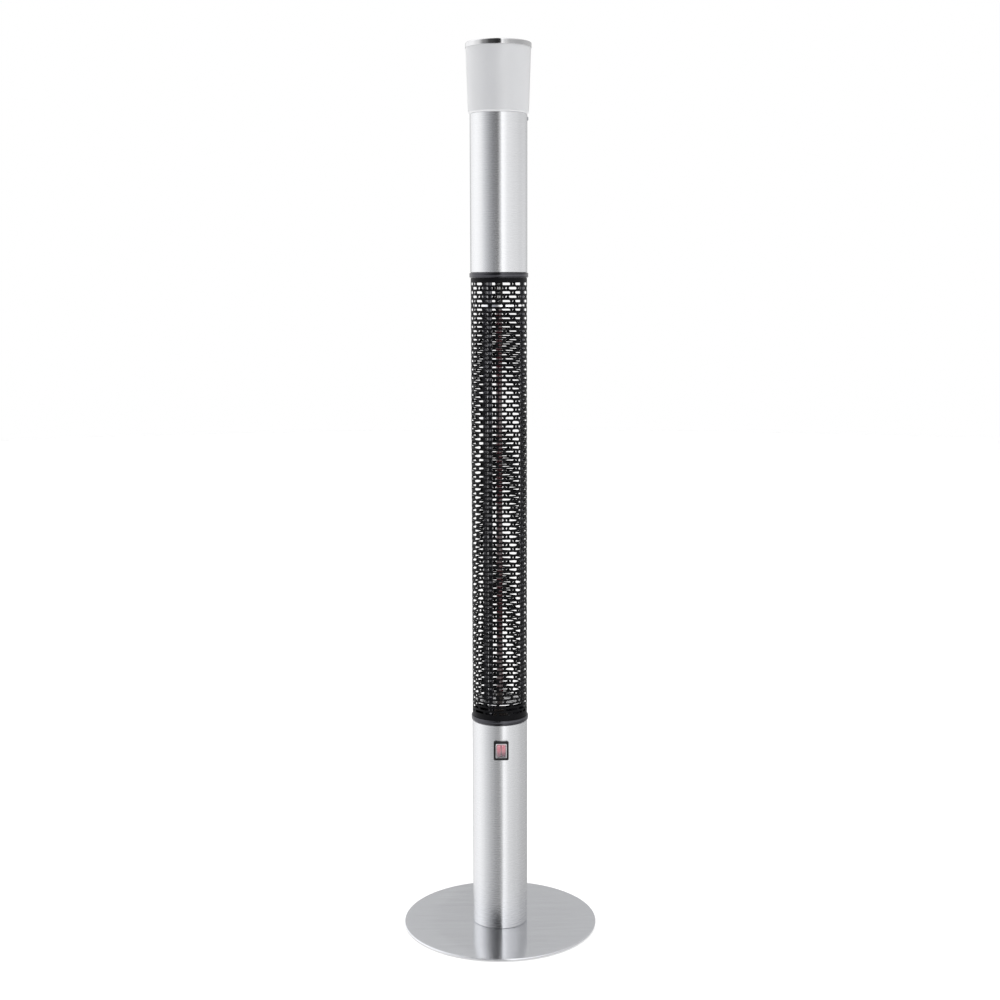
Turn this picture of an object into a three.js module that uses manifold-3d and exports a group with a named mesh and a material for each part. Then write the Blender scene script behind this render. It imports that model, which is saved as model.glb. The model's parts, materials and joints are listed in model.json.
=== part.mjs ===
// Free-standing infrared patio heater tower with a light on top.
// Millimetres, +Z up, the tower's axis on Z and its feet on z = 0. The switch faces -Y.

import * as THREE from "three";
import { mergeVertices } from "three/addons/utils/BufferGeometryUtils.js";
import Module from "manifold-3d";

const wasm = await Module();
wasm.setup();

// ---------------------------------------------------------------------------
// Driving dimensions
// ---------------------------------------------------------------------------

const SEAT_GAP = 0.3; // between two pieces that rest on or in each other
const PIVOT_CLEARANCE = 0.12; // radial, between a turning bore and its pin
const CUT_MARGIN = 2; // how far a cutter runs past the face it opens
const FRONT_ANGLE = -90; // degrees from +X, the way the switch faces
const BACK_ANGLE = 90; // the way the cable leaves

// Base
const PAD_COUNT = 5;
const PAD_RADIUS = 10;
const PAD_HEIGHT = 2;
const PAD_EDGE_GAP = 10; // from the plate's edge in to the pad
const PLATE_RADIUS = 168;
const PLATE_THICKNESS = 3;
const PLATE_EDGE_ROUND = 0.8;
const FLANGE_FLOOR = 3;
const FLANGE_WALL = 2;
const FLANGE_HEIGHT = 20;
const BASE_SCREW_COUNT = 3;
const BASE_SCREW_CIRCLE = 32;
const BASE_SCREW_RADIUS = 2.5;
const BASE_SCREW_HEAD_RADIUS = 4.6;
const BASE_SCREW_LENGTH = 12;
const BASE_SCREW_SOCKET = 1.7;
const BASE_SCREW_SOCKET_DEPTH = 1.5;
const SCREW_BOSS_RADIUS = 6;
const SCREW_BOSS_CROWN = 1.5; // metal left above the blind thread

// Tubes and collars
const TUBE_RADIUS = 47.5;
const TUBE_WALL = 1.2;
const LOWER_TUBE_LENGTH = 364;
const UPPER_TUBE_LENGTH = 257;
const COLLAR_OVERHANG = 1.7; // out past the tube
const COLLAR_HEIGHT = 8.5;
const COLLAR_ROUND = 2.4;
const COLLAR_SKIRT_DEPTH = 12;
const COLLAR_SPIGOT_HEIGHT = 8;
const COLLAR_WALL = 1;
const COLLAR_FLOOR_LEVEL = 2;
const COLLAR_FLOOR = 2.5;
const COLLAR_HOLE_RADIUS = 9;

// Guard: a perforated tube with staggered slots
const GUARD_INSET = 0.5; // in from the tube's outside
const GUARD_WALL = 1;
const GUARD_LENGTH = 747.6;
const GUARD_TURN = 8.4; // degrees from the front to the first slot
const SLOTS_PER_ROW = 12;
const SLOT_BRIDGE = 3.6; // metal between two slots of a row
const SLOT_HEIGHT = 26.8;
const SLOT_BAR = 19.6; // metal between two rows
const GUARD_END_BAND = 11;

// Tie rods
const ROD_COUNT = 3;
const ROD_FIRST_ANGLE = 5;
const ROD_RADIUS = 4;
const ROD_BORE_RADIUS = 2.2;
const ROD_NECK_RADIUS = 3;
const ROD_NECK_SPARE = 2; // thread left past the nut
const NUT_ACROSS_FLATS = 10;
const NUT_HEIGHT = 4;

// Lamp and what holds it
const LAMP_RADIUS = 5.3;
const LAMP_WALL = 1;
const LAMP_LOWER_CAP_LENGTH = 27;
const LAMP_UPPER_CAP_LENGTH = 8;
const LAMP_CAP_PLUG = 5;
const FILAMENT_RADIUS = 1.8;
const FILAMENT_SEAT_DEPTH = 4;
const HOLDER_BASE_OVERLAP = 5; // out past the collar's hole
const HOLDER_BASE_HEIGHT = 4;
const HOLDER_SHOULDER_WIDTH = 3;
const HOLDER_SHOULDER = 29; // from the collar floor to the lower disc
const HOLDER_SPIGOT = 3;
const HOLDER_SEAT_DEPTH = 16;
const HOLDER_WALL = 1.6;
const DISC_EDGE_GAP = 1.3;
const DISC_THICKNESS = 1.2;
const UPPER_DISC_DROP = 46; // below the upper collar's floor
const BRACKET_WIDTH = 12.6;
const BRACKET_LEG_WIDTH = 4.2;
const BRACKET_LEG_DEPTH = 3;
const BRACKET_FLANGE_SEAT = 5; // out past the collar's hole, front and back
const BRACKET_SHEET = 1.5;

// Switch
const SWITCH_DROP = 43.3; // centre, below the top of the lower tube
const BEZEL_WIDTH = 25.6;
const BEZEL_HEIGHT = 32.8;
const BEZEL_THICKNESS = 3;
const BEZEL_CORNER = 2;
const BEZEL_RECESS = 1.2;
const BARREL_WIDTH = 21.6;
const BARREL_HEIGHT = 28.4;
const BARREL_DEPTH = 24; // behind the bezel's front
const PIVOT_DEPTH = 5.4; // behind the bezel's front
const ROCKER_WIDTH = 7.1;
const ROCKER_REACH = 10.2; // from the pivot to either end
const ROCKER_FACE = 3.5; // from the pivot to the middle of the face
const ROCKER_TILT = 9; // degrees either way from level
const ROCKER_BELLY = 3.5;
const ROCKER_BELLY_REACH = 4.5;
const ROCKER_END_TAPER = 0.6;
const ROCKER_RIB = 0.6; // the wall between the two rockers
const PIN_RADIUS = 1;
const PIN_SEAT = 1.5; // length of each end held in the housing
const COVER_WALL = 0.7;
const COVER_LIP = 0.9;
const COVER_WIDTH = 17.6;
const COVER_HEIGHT = 23.2;
const COVER_FLANGE_MARGIN = 1.1;
const COVER_BEVEL = 0.8;
const COVER_CORNER = 1.7;
const COVER_DOME = 4.2; // out past the bezel
const TERMINAL_COLUMNS = 2;
const TERMINAL_ROWS = 2;
const TERMINAL_WIDTH = 6.3;
const TERMINAL_THICKNESS = 0.8;
const TERMINAL_SEAT = 4;
const TERMINAL_OUT = 9;
const TERMINAL_SPACING_X = 10;
const TERMINAL_SPACING_Z = 14;

// Cable gland
const GLAND_HEIGHT = 45; // centre, above the foot of the lower tube
const GLAND_THREAD_RADIUS = 8;
const GLAND_BORE_RADIUS = 4.5;
const GLAND_HEX_RADIUS = 11;
const GLAND_HEX_THICKNESS = 5;
const GLAND_THREAD_SPARE = 6; // thread left past the locknut
const GLAND_CLAMP_LENGTH = 7;
const GLAND_CLAMP_RADIUS = 7;
const GLAND_DOME_LENGTH = 14;
const GLAND_DOME_MOUTH = 6.5;
const LOCKNUT_RADIUS = 12;
const LOCKNUT_THICKNESS = 4;

// Inside the lower tube
const CHASSIS_WIDTH = 56;
const CHASSIS_HEIGHT = 200;
const CHASSIS_SHEET = 1.5;
const CHASSIS_SET_BACK = 6; // front of the upright, behind the axis
const CHASSIS_FOOT = 26;
const CHASSIS_FOOT_CLEARANCE = 6; // to the screw bosses on either side
const BLOCK_WIDTH = 42;
const BLOCK_DEPTH = 17;
const BLOCK_HEIGHT = 20;
const BLOCK_LEVEL = 160; // above the chassis foot
const BLOCK_WAYS = 3;
const BLOCK_WELL_RADIUS = 2.7;
const DRIVER_WIDTH = 44;
const DRIVER_DEPTH = 20;
const DRIVER_HEIGHT = 62;
const DRIVER_LEVEL = 70;
const DRIVER_EAR = 6; // length of each
const DRIVER_EAR_WIDTH = 15;
const TILT_RADIUS = 9;
const TILT_HEIGHT = 26;
const TILT_LEVEL = 100;
const TILT_BASE_WIDTH = 30;
const TILT_BASE_DEPTH = 4;
const TILT_BASE_HEIGHT = 13;

// Light head
const CARRIER_PLATE = 3;
const CARRIER_WALL = 2.5;
const CARRIER_DEPTH = 24;
const CARRIER_BOSS_RADIUS = 9;
const CARRIER_BOSS_DEPTH = 14;
const CARRIER_LEAD_CIRCLE = 22;
const BOARD_EDGE_MARGIN = 8; // in from the carrier's edge
const BOARD_THICKNESS = 1.6;
const LED_COUNT = 6;
const LED_CIRCLE = 26;
const LED_SIDE = 5;
const LED_HEIGHT = 1.5;
const POST_RADIUS = 5;
const POST_NECK_RADIUS = 3;
const POST_THREAD = 9; // length screwed in at either end
const POST_SHOULDER_RADIUS = 8;
const POST_SHOULDER = 3;
const SHADE_OVERHANG = 2.6; // out past the tube
const SHADE_FLARE = 3.5; // from its foot to its top
const SHADE_HEIGHT = 106;
const SHADE_WALL = 3;
const SHADE_ROUND = 4;
const SHADE_LIP_GAP = 3; // from the board out to the shade's lip
const CAP_OVERHANG = 0.7; // out past the shade
const CAP_HEIGHT = 7;
const CAP_WALL = 2;
const CAP_ROUND = 0.9;
const CAP_BOSS_RADIUS = 8;
const CAP_BOSS_DEPTH = 14;
const HEAD_SCREW_ANGLES = [0, 90];
const HEAD_SCREW_DROP = 7; // below the top of the upper tube
const HEAD_SCREW_RADIUS = 2;
const HEAD_SCREW_HEAD_RADIUS = 3.2;
const HEAD_SCREW_HEAD = 1.3;
const HEAD_SCREW_LENGTH = 7;

// Leads
const LEAD_RADIUS = 1.2;
const LEAD_SIDES = 6;
const LEAD_BEND = 10;
const LEAD_SLACK = 12; // straight run past each end of a rod

// Roundness
const PLATE_SIDES = 48;
const TUBE_SIDES = 36;
const SHADE_SIDES = 32;
const COLLAR_SIDES = 24;
const INNER_SIDES = 18;
const SMALL_SIDES = 10;

// ---------------------------------------------------------------------------
// Levels and radii that follow
// ---------------------------------------------------------------------------

const PLATE_BOTTOM = PAD_HEIGHT + SEAT_GAP;
const PLATE_TOP = PLATE_BOTTOM + PLATE_THICKNESS;
const LOWER_TUBE_BOTTOM = PLATE_TOP + SEAT_GAP;
const SWITCH_HEIGHT = LOWER_TUBE_LENGTH - SWITCH_DROP; // centre, above the tube's foot
const LOWER_COLLAR_BOTTOM = LOWER_TUBE_BOTTOM + LOWER_TUBE_LENGTH + SEAT_GAP;
const GUARD_BOTTOM = LOWER_COLLAR_BOTTOM + COLLAR_HEIGHT + SEAT_GAP;
const UPPER_COLLAR_TOP = GUARD_BOTTOM + GUARD_LENGTH + SEAT_GAP + COLLAR_HEIGHT;
const UPPER_TUBE_BOTTOM = UPPER_COLLAR_TOP + SEAT_GAP;
const UPPER_TUBE_TOP = UPPER_TUBE_BOTTOM + UPPER_TUBE_LENGTH;
const SHADE_BOTTOM = UPPER_TUBE_TOP + SEAT_GAP;
const CAP_BOTTOM = SHADE_BOTTOM + SHADE_HEIGHT + SEAT_GAP;

const PAD_CIRCLE = PLATE_RADIUS - PAD_EDGE_GAP - PAD_RADIUS;
const TUBE_BORE = TUBE_RADIUS - TUBE_WALL;
const COLLAR_RADIUS = TUBE_RADIUS + COLLAR_OVERHANG;
const GUARD_RADIUS = TUBE_RADIUS - GUARD_INSET;
const GUARD_SIDES = 2 * SLOTS_PER_ROW; // so that every slot is centred on an edge
const GUARD_BORE = (GUARD_RADIUS - GUARD_WALL) * Math.cos(Math.PI / GUARD_SIDES);
const SLOT_WIDTH = (2 * Math.PI * GUARD_RADIUS) / SLOTS_PER_ROW - SLOT_BRIDGE;
const SLOT_PITCH = SLOT_HEIGHT + SLOT_BAR;
const SKIRT_RADIUS = TUBE_BORE - SEAT_GAP;
const SPIGOT_RADIUS = GUARD_BORE - SEAT_GAP;
const SPIGOT_BORE = SPIGOT_RADIUS - COLLAR_WALL;
const SKIRT_BORE = SKIRT_RADIUS - COLLAR_WALL;
// The rods stand against the spigot's flats, or their nuts against the skirt's.
const ROD_CIRCLE = Math.min(
  SPIGOT_BORE * Math.cos(Math.PI / COLLAR_SIDES) - SEAT_GAP - ROD_RADIUS,
  SKIRT_BORE * Math.cos(Math.PI / COLLAR_SIDES) - SEAT_GAP - NUT_ACROSS_FLATS / 2,
);
const DISC_RADIUS = SPIGOT_BORE - DISC_EDGE_GAP;
const SHADE_FOOT_RADIUS = TUBE_RADIUS + SHADE_OVERHANG;
const SHADE_TOP_RADIUS = SHADE_FOOT_RADIUS + SHADE_FLARE;
const CAP_RADIUS = SHADE_TOP_RADIUS + CAP_OVERHANG;
const BOARD_RADIUS = SKIRT_RADIUS - BOARD_EDGE_MARGIN;
const LEAD_WAY_RADIUS = LEAD_RADIUS + 2 * SEAT_GAP; // of a hole that a lead goes through

// The lower collar's floor carries the rods and the lamp; the upper collar is its mirror.
const LOWER_FLOOR_BOTTOM = LOWER_COLLAR_BOTTOM + COLLAR_FLOOR_LEVEL;
const LOWER_FLOOR_TOP = LOWER_FLOOR_BOTTOM + COLLAR_FLOOR;
const UPPER_FLOOR_TOP = UPPER_COLLAR_TOP - COLLAR_FLOOR_LEVEL;
const UPPER_FLOOR_BOTTOM = UPPER_FLOOR_TOP - COLLAR_FLOOR;

const HOLDER_BOTTOM = LOWER_FLOOR_TOP + SEAT_GAP;
const LOWER_DISC_BOTTOM = HOLDER_BOTTOM + HOLDER_SHOULDER + SEAT_GAP;
const UPPER_DISC_TOP = UPPER_FLOOR_BOTTOM - UPPER_DISC_DROP;
const UPPER_DISC_BOTTOM = UPPER_DISC_TOP - DISC_THICKNESS;
const LAMP_BOTTOM = HOLDER_BOTTOM + HOLDER_SHOULDER + HOLDER_SPIGOT - HOLDER_SEAT_DEPTH + SEAT_GAP;
const LAMP_TOP = UPPER_DISC_BOTTOM - SEAT_GAP;
const QUARTZ_BOTTOM = LAMP_BOTTOM + LAMP_LOWER_CAP_LENGTH + SEAT_GAP;
const QUARTZ_TOP = LAMP_TOP - LAMP_UPPER_CAP_LENGTH - SEAT_GAP;
const QUARTZ_BORE = LAMP_RADIUS - LAMP_WALL;
const FILAMENT_REACH = LAMP_CAP_PLUG - FILAMENT_SEAT_DEPTH + 2 * SEAT_GAP; // in from the quartz's end

const CHASSIS_BOTTOM = LOWER_TUBE_BOTTOM + FLANGE_FLOOR + SEAT_GAP;
const BEZEL_FRONT = TUBE_RADIUS + SEAT_GAP + BEZEL_THICKNESS; // distance in front of the axis
const PIVOT_FRONT = BEZEL_FRONT - PIVOT_DEPTH;
const ROCKER_OFFSET = (ROCKER_WIDTH + ROCKER_RIB) / 2 + SEAT_GAP;
const WELL_HALF_WIDTH = ROCKER_OFFSET + ROCKER_WIDTH / 2 + SEAT_GAP;
const ROCKER_CORNER = ROCKER_FACE + ROCKER_REACH * Math.tan(radians(ROCKER_TILT));
const ROCKER_SWEEP = Math.hypot(ROCKER_CORNER, ROCKER_REACH);
const BARREL_BACK = PIVOT_DEPTH - BARREL_DEPTH; // in front of the pivot, so negative
const BEZEL_FLOOR = PIVOT_DEPTH - BEZEL_RECESS;
const WELL_FLOOR = -Math.hypot(ROCKER_BELLY, ROCKER_BELLY_REACH) - SEAT_GAP;
const GLAND_SEAT = TUBE_RADIUS + SEAT_GAP;
const LOCKNUT_SEAT = Math.sqrt(TUBE_BORE ** 2 - LOCKNUT_RADIUS ** 2) - SEAT_GAP;

const ROD_ANGLES = evenAngles(ROD_COUNT, ROD_FIRST_ANGLE);
const ROD_NECK = COLLAR_FLOOR + 2 * SEAT_GAP + NUT_HEIGHT + ROD_NECK_SPARE;
const ROD_BODY_BOTTOM = LOWER_FLOOR_TOP + SEAT_GAP;
const ROD_BODY_TOP = UPPER_FLOOR_BOTTOM - SEAT_GAP;
const ROD_END_BOTTOM = ROD_BODY_BOTTOM - ROD_NECK;
const ROD_END_TOP = ROD_BODY_TOP + ROD_NECK;
const NUT_CORNER = NUT_ACROSS_FLATS / Math.sqrt(3);
const HOLDER_SPIGOT_RADIUS = LAMP_RADIUS + SEAT_GAP + HOLDER_WALL;
const BRACKET_HEIGHT = UPPER_FLOOR_BOTTOM - UPPER_DISC_TOP - 2 * SEAT_GAP;

const BOARD_BOTTOM = UPPER_TUBE_TOP + SEAT_GAP;
const POST_BOTTOM = BOARD_BOTTOM + BOARD_THICKNESS + SEAT_GAP;
const CAP_BOSS_BOTTOM = CAP_BOTTOM + CAP_HEIGHT - CAP_WALL - CAP_BOSS_DEPTH;
const CARRIER_LEAD_PLACE = around(CARRIER_LEAD_CIRCLE, ROD_ANGLES[1]);
const BASE_SCREW_PLACES = evenAngles(BASE_SCREW_COUNT, BACK_ANGLE).map((angle) =>
  around(BASE_SCREW_CIRCLE, angle),
);

// Where the leads leave the terminal block and the driver.
const BLOCK_TOP = CHASSIS_BOTTOM + BLOCK_LEVEL + BLOCK_HEIGHT;
const BLOCK_WAY_Y = CHASSIS_SET_BACK - SEAT_GAP - BLOCK_DEPTH / 2;
const BLOCK_WAY_X = (BLOCK_WIDTH / BLOCK_WAYS) * ((BLOCK_WAYS - 1) / 2);
const DRIVER_TOP = CHASSIS_BOTTOM + DRIVER_LEVEL + DRIVER_HEIGHT;
const DRIVER_Y = CHASSIS_SET_BACK + CHASSIS_SHEET + SEAT_GAP + DRIVER_DEPTH / 2;

// ---------------------------------------------------------------------------
// Helpers
// ---------------------------------------------------------------------------

function radians(degrees) {
  return THREE.MathUtils.degToRad(degrees);
}

// A point on a circle round the tower's axis.
function around(radius, degrees, height = 0) {
  const turn = radians(degrees);
  return new THREE.Vector3(radius * Math.cos(turn), radius * Math.sin(turn), height);
}

function evenAngles(count, first = 0) {
  return Array.from({ length: count }, (_, index) => first + (index * 360) / count);
}

// Places in a row, centred on 0.
function evenRow(count, pitch) {
  return Array.from({ length: count }, (_, index) => (index - (count - 1) / 2) * pitch);
}

// A solid of revolution about Z from [radius, height] points. A profile that doesn't
// start and end on the axis is closed on itself.
function turned(profile, sides) {
  const points = profile.map(([radius, height]) => new THREE.Vector2(radius, height));
  if (THREE.ShapeUtils.area(points) < 0) points.reverse();
  const onAxis = points[0].x === 0 && points[points.length - 1].x === 0;
  if (!onAxis) points.push(points[0].clone());
  return new THREE.LatheGeometry(points, sides).rotateX(Math.PI / 2);
}

// Points of a quarter turn in a profile, from one angle to another about a centre.
function roundCorner(centre, radius, fromDegrees, toDegrees, steps) {
  return Array.from({ length: steps + 1 }, (_, index) => {
    const turn = radians(fromDegrees + ((toDegrees - fromDegrees) * index) / steps);
    return [centre[0] + radius * Math.cos(turn), centre[1] + radius * Math.sin(turn)];
  });
}

function upright(radius, height, sides) {
  return new THREE.CylinderGeometry(radius, radius, height, sides)
    .rotateX(Math.PI / 2)
    .translate(0, 0, height / 2);
}

function block(width, depth, height) {
  return new THREE.BoxGeometry(width, depth, height);
}

function roundedRectangle(width, height, corner) {
  const shape = new THREE.Shape();
  const x = width / 2 - corner;
  const y = height / 2 - corner;
  shape.absarc(x, y, corner, 0, Math.PI / 2);
  shape.absarc(-x, y, corner, Math.PI / 2, Math.PI);
  shape.absarc(-x, -y, corner, Math.PI, 1.5 * Math.PI);
  shape.absarc(x, -y, corner, 1.5 * Math.PI, 2 * Math.PI);
  shape.closePath();
  return shape;
}

// Extrudes an outline that faces the front: outline X is X, outline Y is Z, and the
// depth runs from `back` to `front`, both counted towards -Y.
function facingFront(outline, back, front, bevel = 0) {
  const geometry = new THREE.ExtrudeGeometry(outline, {
    depth: front - back - 2 * bevel,
    curveSegments: 2,
    bevelEnabled: bevel > 0,
    bevelThickness: bevel,
    bevelSize: bevel,
    bevelOffset: -bevel,
    bevelSegments: 1,
  });
  return geometry.translate(0, 0, back + bevel).rotateX(Math.PI / 2);
}

// Extrudes a side outline along X, centred: outline X counts towards -Y, outline Y is Z.
function sideProfile(outline, width) {
  const geometry = new THREE.ExtrudeGeometry(outline, {
    depth: width,
    bevelEnabled: false,
    curveSegments: 6,
  });
  geometry.translate(0, 0, -width / 2);
  const basis = new THREE.Matrix4().makeBasis(
    new THREE.Vector3(0, -1, 0),
    new THREE.Vector3(0, 0, 1),
    new THREE.Vector3(-1, 0, 0),
  );
  return geometry.applyMatrix4(basis);
}

function toSolid(geometry) {
  const bare = new THREE.BufferGeometry();
  bare.setAttribute("position", geometry.getAttribute("position"));
  bare.setIndex(geometry.getIndex());
  const merged = mergeVertices(bare, 1e-4);
  return new wasm.Manifold(
    new wasm.Mesh({
      numProp: 3,
      vertProperties: new Float32Array(merged.getAttribute("position").array),
      triVerts: new Uint32Array(merged.getIndex().array),
    }),
  );
}

function toGeometry(solid) {
  const mesh = solid.getMesh();
  const geometry = new THREE.BufferGeometry();
  geometry.setAttribute("position", new THREE.BufferAttribute(mesh.vertProperties, 3));
  geometry.setIndex(new THREE.BufferAttribute(mesh.triVerts, 1));
  geometry.computeVertexNormals();
  return geometry;
}

function joined(...geometries) {
  const sum = geometries.map(toSolid).reduce((whole, solid) => whole.add(solid));
  return toGeometry(sum);
}

function cut(geometry, ...cutters) {
  const rest = cutters.map(toSolid).reduce((whole, tool) => whole.subtract(tool), toSolid(geometry));
  return toGeometry(rest);
}

// A route through corner points with each corner rounded off.
function roundedRoute(corners) {
  const route = [corners[0]];
  for (let index = 1; index < corners.length - 1; index += 1) {
    const corner = corners[index];
    const back = corners[index - 1].clone().sub(corner);
    const ahead = corners[index + 1].clone().sub(corner);
    const reach = Math.min(LEAD_BEND, back.length() / 2, ahead.length() / 2);
    const start = corner.clone().add(back.setLength(reach));
    const end = corner.clone().add(ahead.setLength(reach));
    route.push(...new THREE.QuadraticBezierCurve3(start, corner, end).getPoints(3));
  }
  route.push(corners[corners.length - 1]);
  return route;
}

// A curve that steps from one given point to the next, so that an extrusion along it
// has one section at each point.
class PointToPoint extends THREE.Curve {
  constructor(points) {
    super();
    this.points = points;
  }

  getPoint(share, target = new THREE.Vector3()) {
    const place = share * (this.points.length - 1);
    const index = Math.min(Math.floor(place), this.points.length - 2);
    return target.lerpVectors(this.points[index], this.points[index + 1], place - index);
  }

  getPointAt(share, target) {
    return this.getPoint(share, target);
  }

  getTangentAt(share, target) {
    return this.getTangent(share, target);
  }

  getSpacedPoints(count) {
    return this.getPoints(count);
  }
}

function lead(corners) {
  const route = roundedRoute(corners);
  const section = new THREE.Shape(
    evenAngles(LEAD_SIDES).map((angle) => {
      const point = around(LEAD_RADIUS, angle);
      return new THREE.Vector2(point.x, point.y);
    }),
  );
  return new THREE.ExtrudeGeometry(section, {
    steps: route.length - 1,
    extrudePath: new PointToPoint(route),
  });
}

// ---------------------------------------------------------------------------
// Materials
// ---------------------------------------------------------------------------

function finish(color, roughness, metalness, extra = {}) {
  return new THREE.MeshStandardMaterial({ color, roughness, metalness, ...extra });
}

const brushedSteel = finish(0xc8c9cd, 0.35, 0.95);
const polishedSteel = finish(0xdcdde0, 0.08, 1);
const zincedSteel = finish(0xa9abae, 0.4, 0.9);
const greyPaint = finish(0x4b4b54, 0.45, 0.3);
const blackEnamel = finish(0x121214, 0.42, 0.4);
const slatePaint = finish(0x24242d, 0.4, 0.4);
const mirrorSteel = finish(0xd2d3d6, 0.15, 1);
const heatedSteel = finish(0x3a3836, 0.5, 0.7);
const rubyQuartz = finish(0xa80d22, 0.1, 0, { transparent: true, opacity: 0.6 });
const glowingWire = finish(0xff3a2a, 0.5, 0, { emissive: 0xff2010 });
const ceramic = finish(0xe4dfd2, 0.6, 0);
const frostedPlastic = finish(0xdadbe0, 0.5, 0);
const blackPlastic = finish(0x111113, 0.4, 0);
const redPlastic = finish(0xd82a3c, 0.25, 0);
const clearPlastic = finish(0xe9eff2, 0.1, 0, { transparent: true, opacity: 0.35 });
const whitePlastic = finish(0xe8e8e4, 0.5, 0);
const greyPlastic = finish(0x6c6f74, 0.5, 0);
const blackRubber = finish(0x17171a, 0.85, 0);
const brass = finish(0xc7a04c, 0.3, 1);
const castAluminium = finish(0xb4b6b9, 0.45, 0.9);
const boardLacquer = finish(0xf1f1ee, 0.35, 0);
const glassSleeve = finish(0xe6e0d0, 0.8, 0);

// ---------------------------------------------------------------------------
// Base
// ---------------------------------------------------------------------------

function floorPad() {
  const round = PAD_HEIGHT / 2;
  const profile = [
    [0, 0],
    [PAD_RADIUS - round, 0],
    [PAD_RADIUS, round],
    [PAD_RADIUS, PAD_HEIGHT],
    [0, PAD_HEIGHT],
  ];
  return turned(profile, SMALL_SIDES);
}

// A countersunk screw that points up from the underside of the plate.
function baseScrew() {
  const profile = [
    [0, 0],
    [BASE_SCREW_HEAD_RADIUS, 0],
    [BASE_SCREW_RADIUS, BASE_SCREW_HEAD_RADIUS - BASE_SCREW_RADIUS],
    [BASE_SCREW_RADIUS, BASE_SCREW_LENGTH],
    [0, BASE_SCREW_LENGTH],
  ];
  const socket = upright(BASE_SCREW_SOCKET, BASE_SCREW_SOCKET_DEPTH + CUT_MARGIN, 6);
  return cut(turned(profile, SMALL_SIDES), socket.translate(0, 0, -CUT_MARGIN));
}

// What the screw leaves in the plate and the flange, with its head's face on z = 0.
function baseScrewHole() {
  const head = BASE_SCREW_HEAD_RADIUS + SEAT_GAP;
  const shank = BASE_SCREW_RADIUS + SEAT_GAP;
  const profile = [
    [0, -CUT_MARGIN],
    [head, -CUT_MARGIN],
    [head, 0],
    [shank, head - shank],
    [shank, BASE_SCREW_LENGTH + SEAT_GAP],
    [0, BASE_SCREW_LENGTH + SEAT_GAP],
  ];
  return turned(profile, SMALL_SIDES);
}

function basePlate() {
  const profile = [
    [0, 0],
    [PLATE_RADIUS - PLATE_EDGE_ROUND, 0],
    [PLATE_RADIUS, PLATE_EDGE_ROUND],
    [PLATE_RADIUS, PLATE_THICKNESS - PLATE_EDGE_ROUND],
    [PLATE_RADIUS - PLATE_EDGE_ROUND, PLATE_THICKNESS],
    [0, PLATE_THICKNESS],
  ];
  const holes = BASE_SCREW_PLACES.map((place) => baseScrewHole().translate(place.x, place.y, 0));
  return cut(turned(profile, PLATE_SIDES), ...holes);
}

// A cup welded into the foot of the lower tube, with blind threads for the base screws.
function baseFlange() {
  const holeBottom = PLATE_BOTTOM - LOWER_TUBE_BOTTOM;
  const bossTop = holeBottom + BASE_SCREW_LENGTH + SEAT_GAP + SCREW_BOSS_CROWN;
  const cup = turned(
    [
      [0, 0],
      [SKIRT_RADIUS, 0],
      [SKIRT_RADIUS, FLANGE_HEIGHT],
      [SKIRT_RADIUS - FLANGE_WALL, FLANGE_HEIGHT],
      [SKIRT_RADIUS - FLANGE_WALL, FLANGE_FLOOR],
      [0, FLANGE_FLOOR],
    ],
    INNER_SIDES,
  );
  const bosses = BASE_SCREW_PLACES.map((place) =>
    upright(SCREW_BOSS_RADIUS, bossTop, SMALL_SIDES).translate(place.x, place.y, 0),
  );
  const holes = BASE_SCREW_PLACES.map((place) =>
    baseScrewHole().translate(place.x, place.y, holeBottom),
  );
  return cut(joined(cup, ...bosses), ...holes);
}

// ---------------------------------------------------------------------------
// Lower tube, switch and cable gland
// ---------------------------------------------------------------------------

function tubeBlank(length) {
  const profile = [
    [TUBE_BORE, 0],
    [TUBE_RADIUS, 0],
    [TUBE_RADIUS, length],
    [TUBE_BORE, length],
  ];
  return turned(profile, TUBE_SIDES);
}

function lowerTube() {
  const windowDepth = TUBE_RADIUS + CUT_MARGIN;
  const window = block(BARREL_WIDTH + 2 * SEAT_GAP, windowDepth, BARREL_HEIGHT + 2 * SEAT_GAP).translate(
    0,
    -windowDepth / 2,
    SWITCH_HEIGHT,
  );
  const inlet = new THREE.CylinderGeometry(
    GLAND_THREAD_RADIUS + SEAT_GAP,
    GLAND_THREAD_RADIUS + SEAT_GAP,
    TUBE_RADIUS + CUT_MARGIN,
    SMALL_SIDES,
  ).translate(0, (TUBE_RADIUS + CUT_MARGIN) / 2, GLAND_HEIGHT);
  return cut(tubeBlank(LOWER_TUBE_LENGTH), window, inlet);
}

// The switch's pieces are drawn about the rockers' pivot.

// A box between two depths, both counted from the pivot towards the front.
function frontBox(width, halfHeight, back, front) {
  return block(width, front - back, 2 * halfHeight).translate(0, -(front + back) / 2, 0);
}

function pinCutter() {
  const reach = WELL_HALF_WIDTH + PIN_SEAT + SEAT_GAP;
  const length = reach + BARREL_WIDTH;
  return new THREE.CylinderGeometry(PIN_RADIUS + SEAT_GAP / 2, PIN_RADIUS + SEAT_GAP / 2, length, SMALL_SIDES)
    .rotateZ(Math.PI / 2)
    .translate(length / 2 - reach, 0, 0);
}

function terminalPlaces() {
  return evenRow(TERMINAL_ROWS, TERMINAL_SPACING_Z).flatMap((z) =>
    evenRow(TERMINAL_COLUMNS, TERMINAL_SPACING_X).map((x) => ({ x, z })),
  );
}

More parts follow.
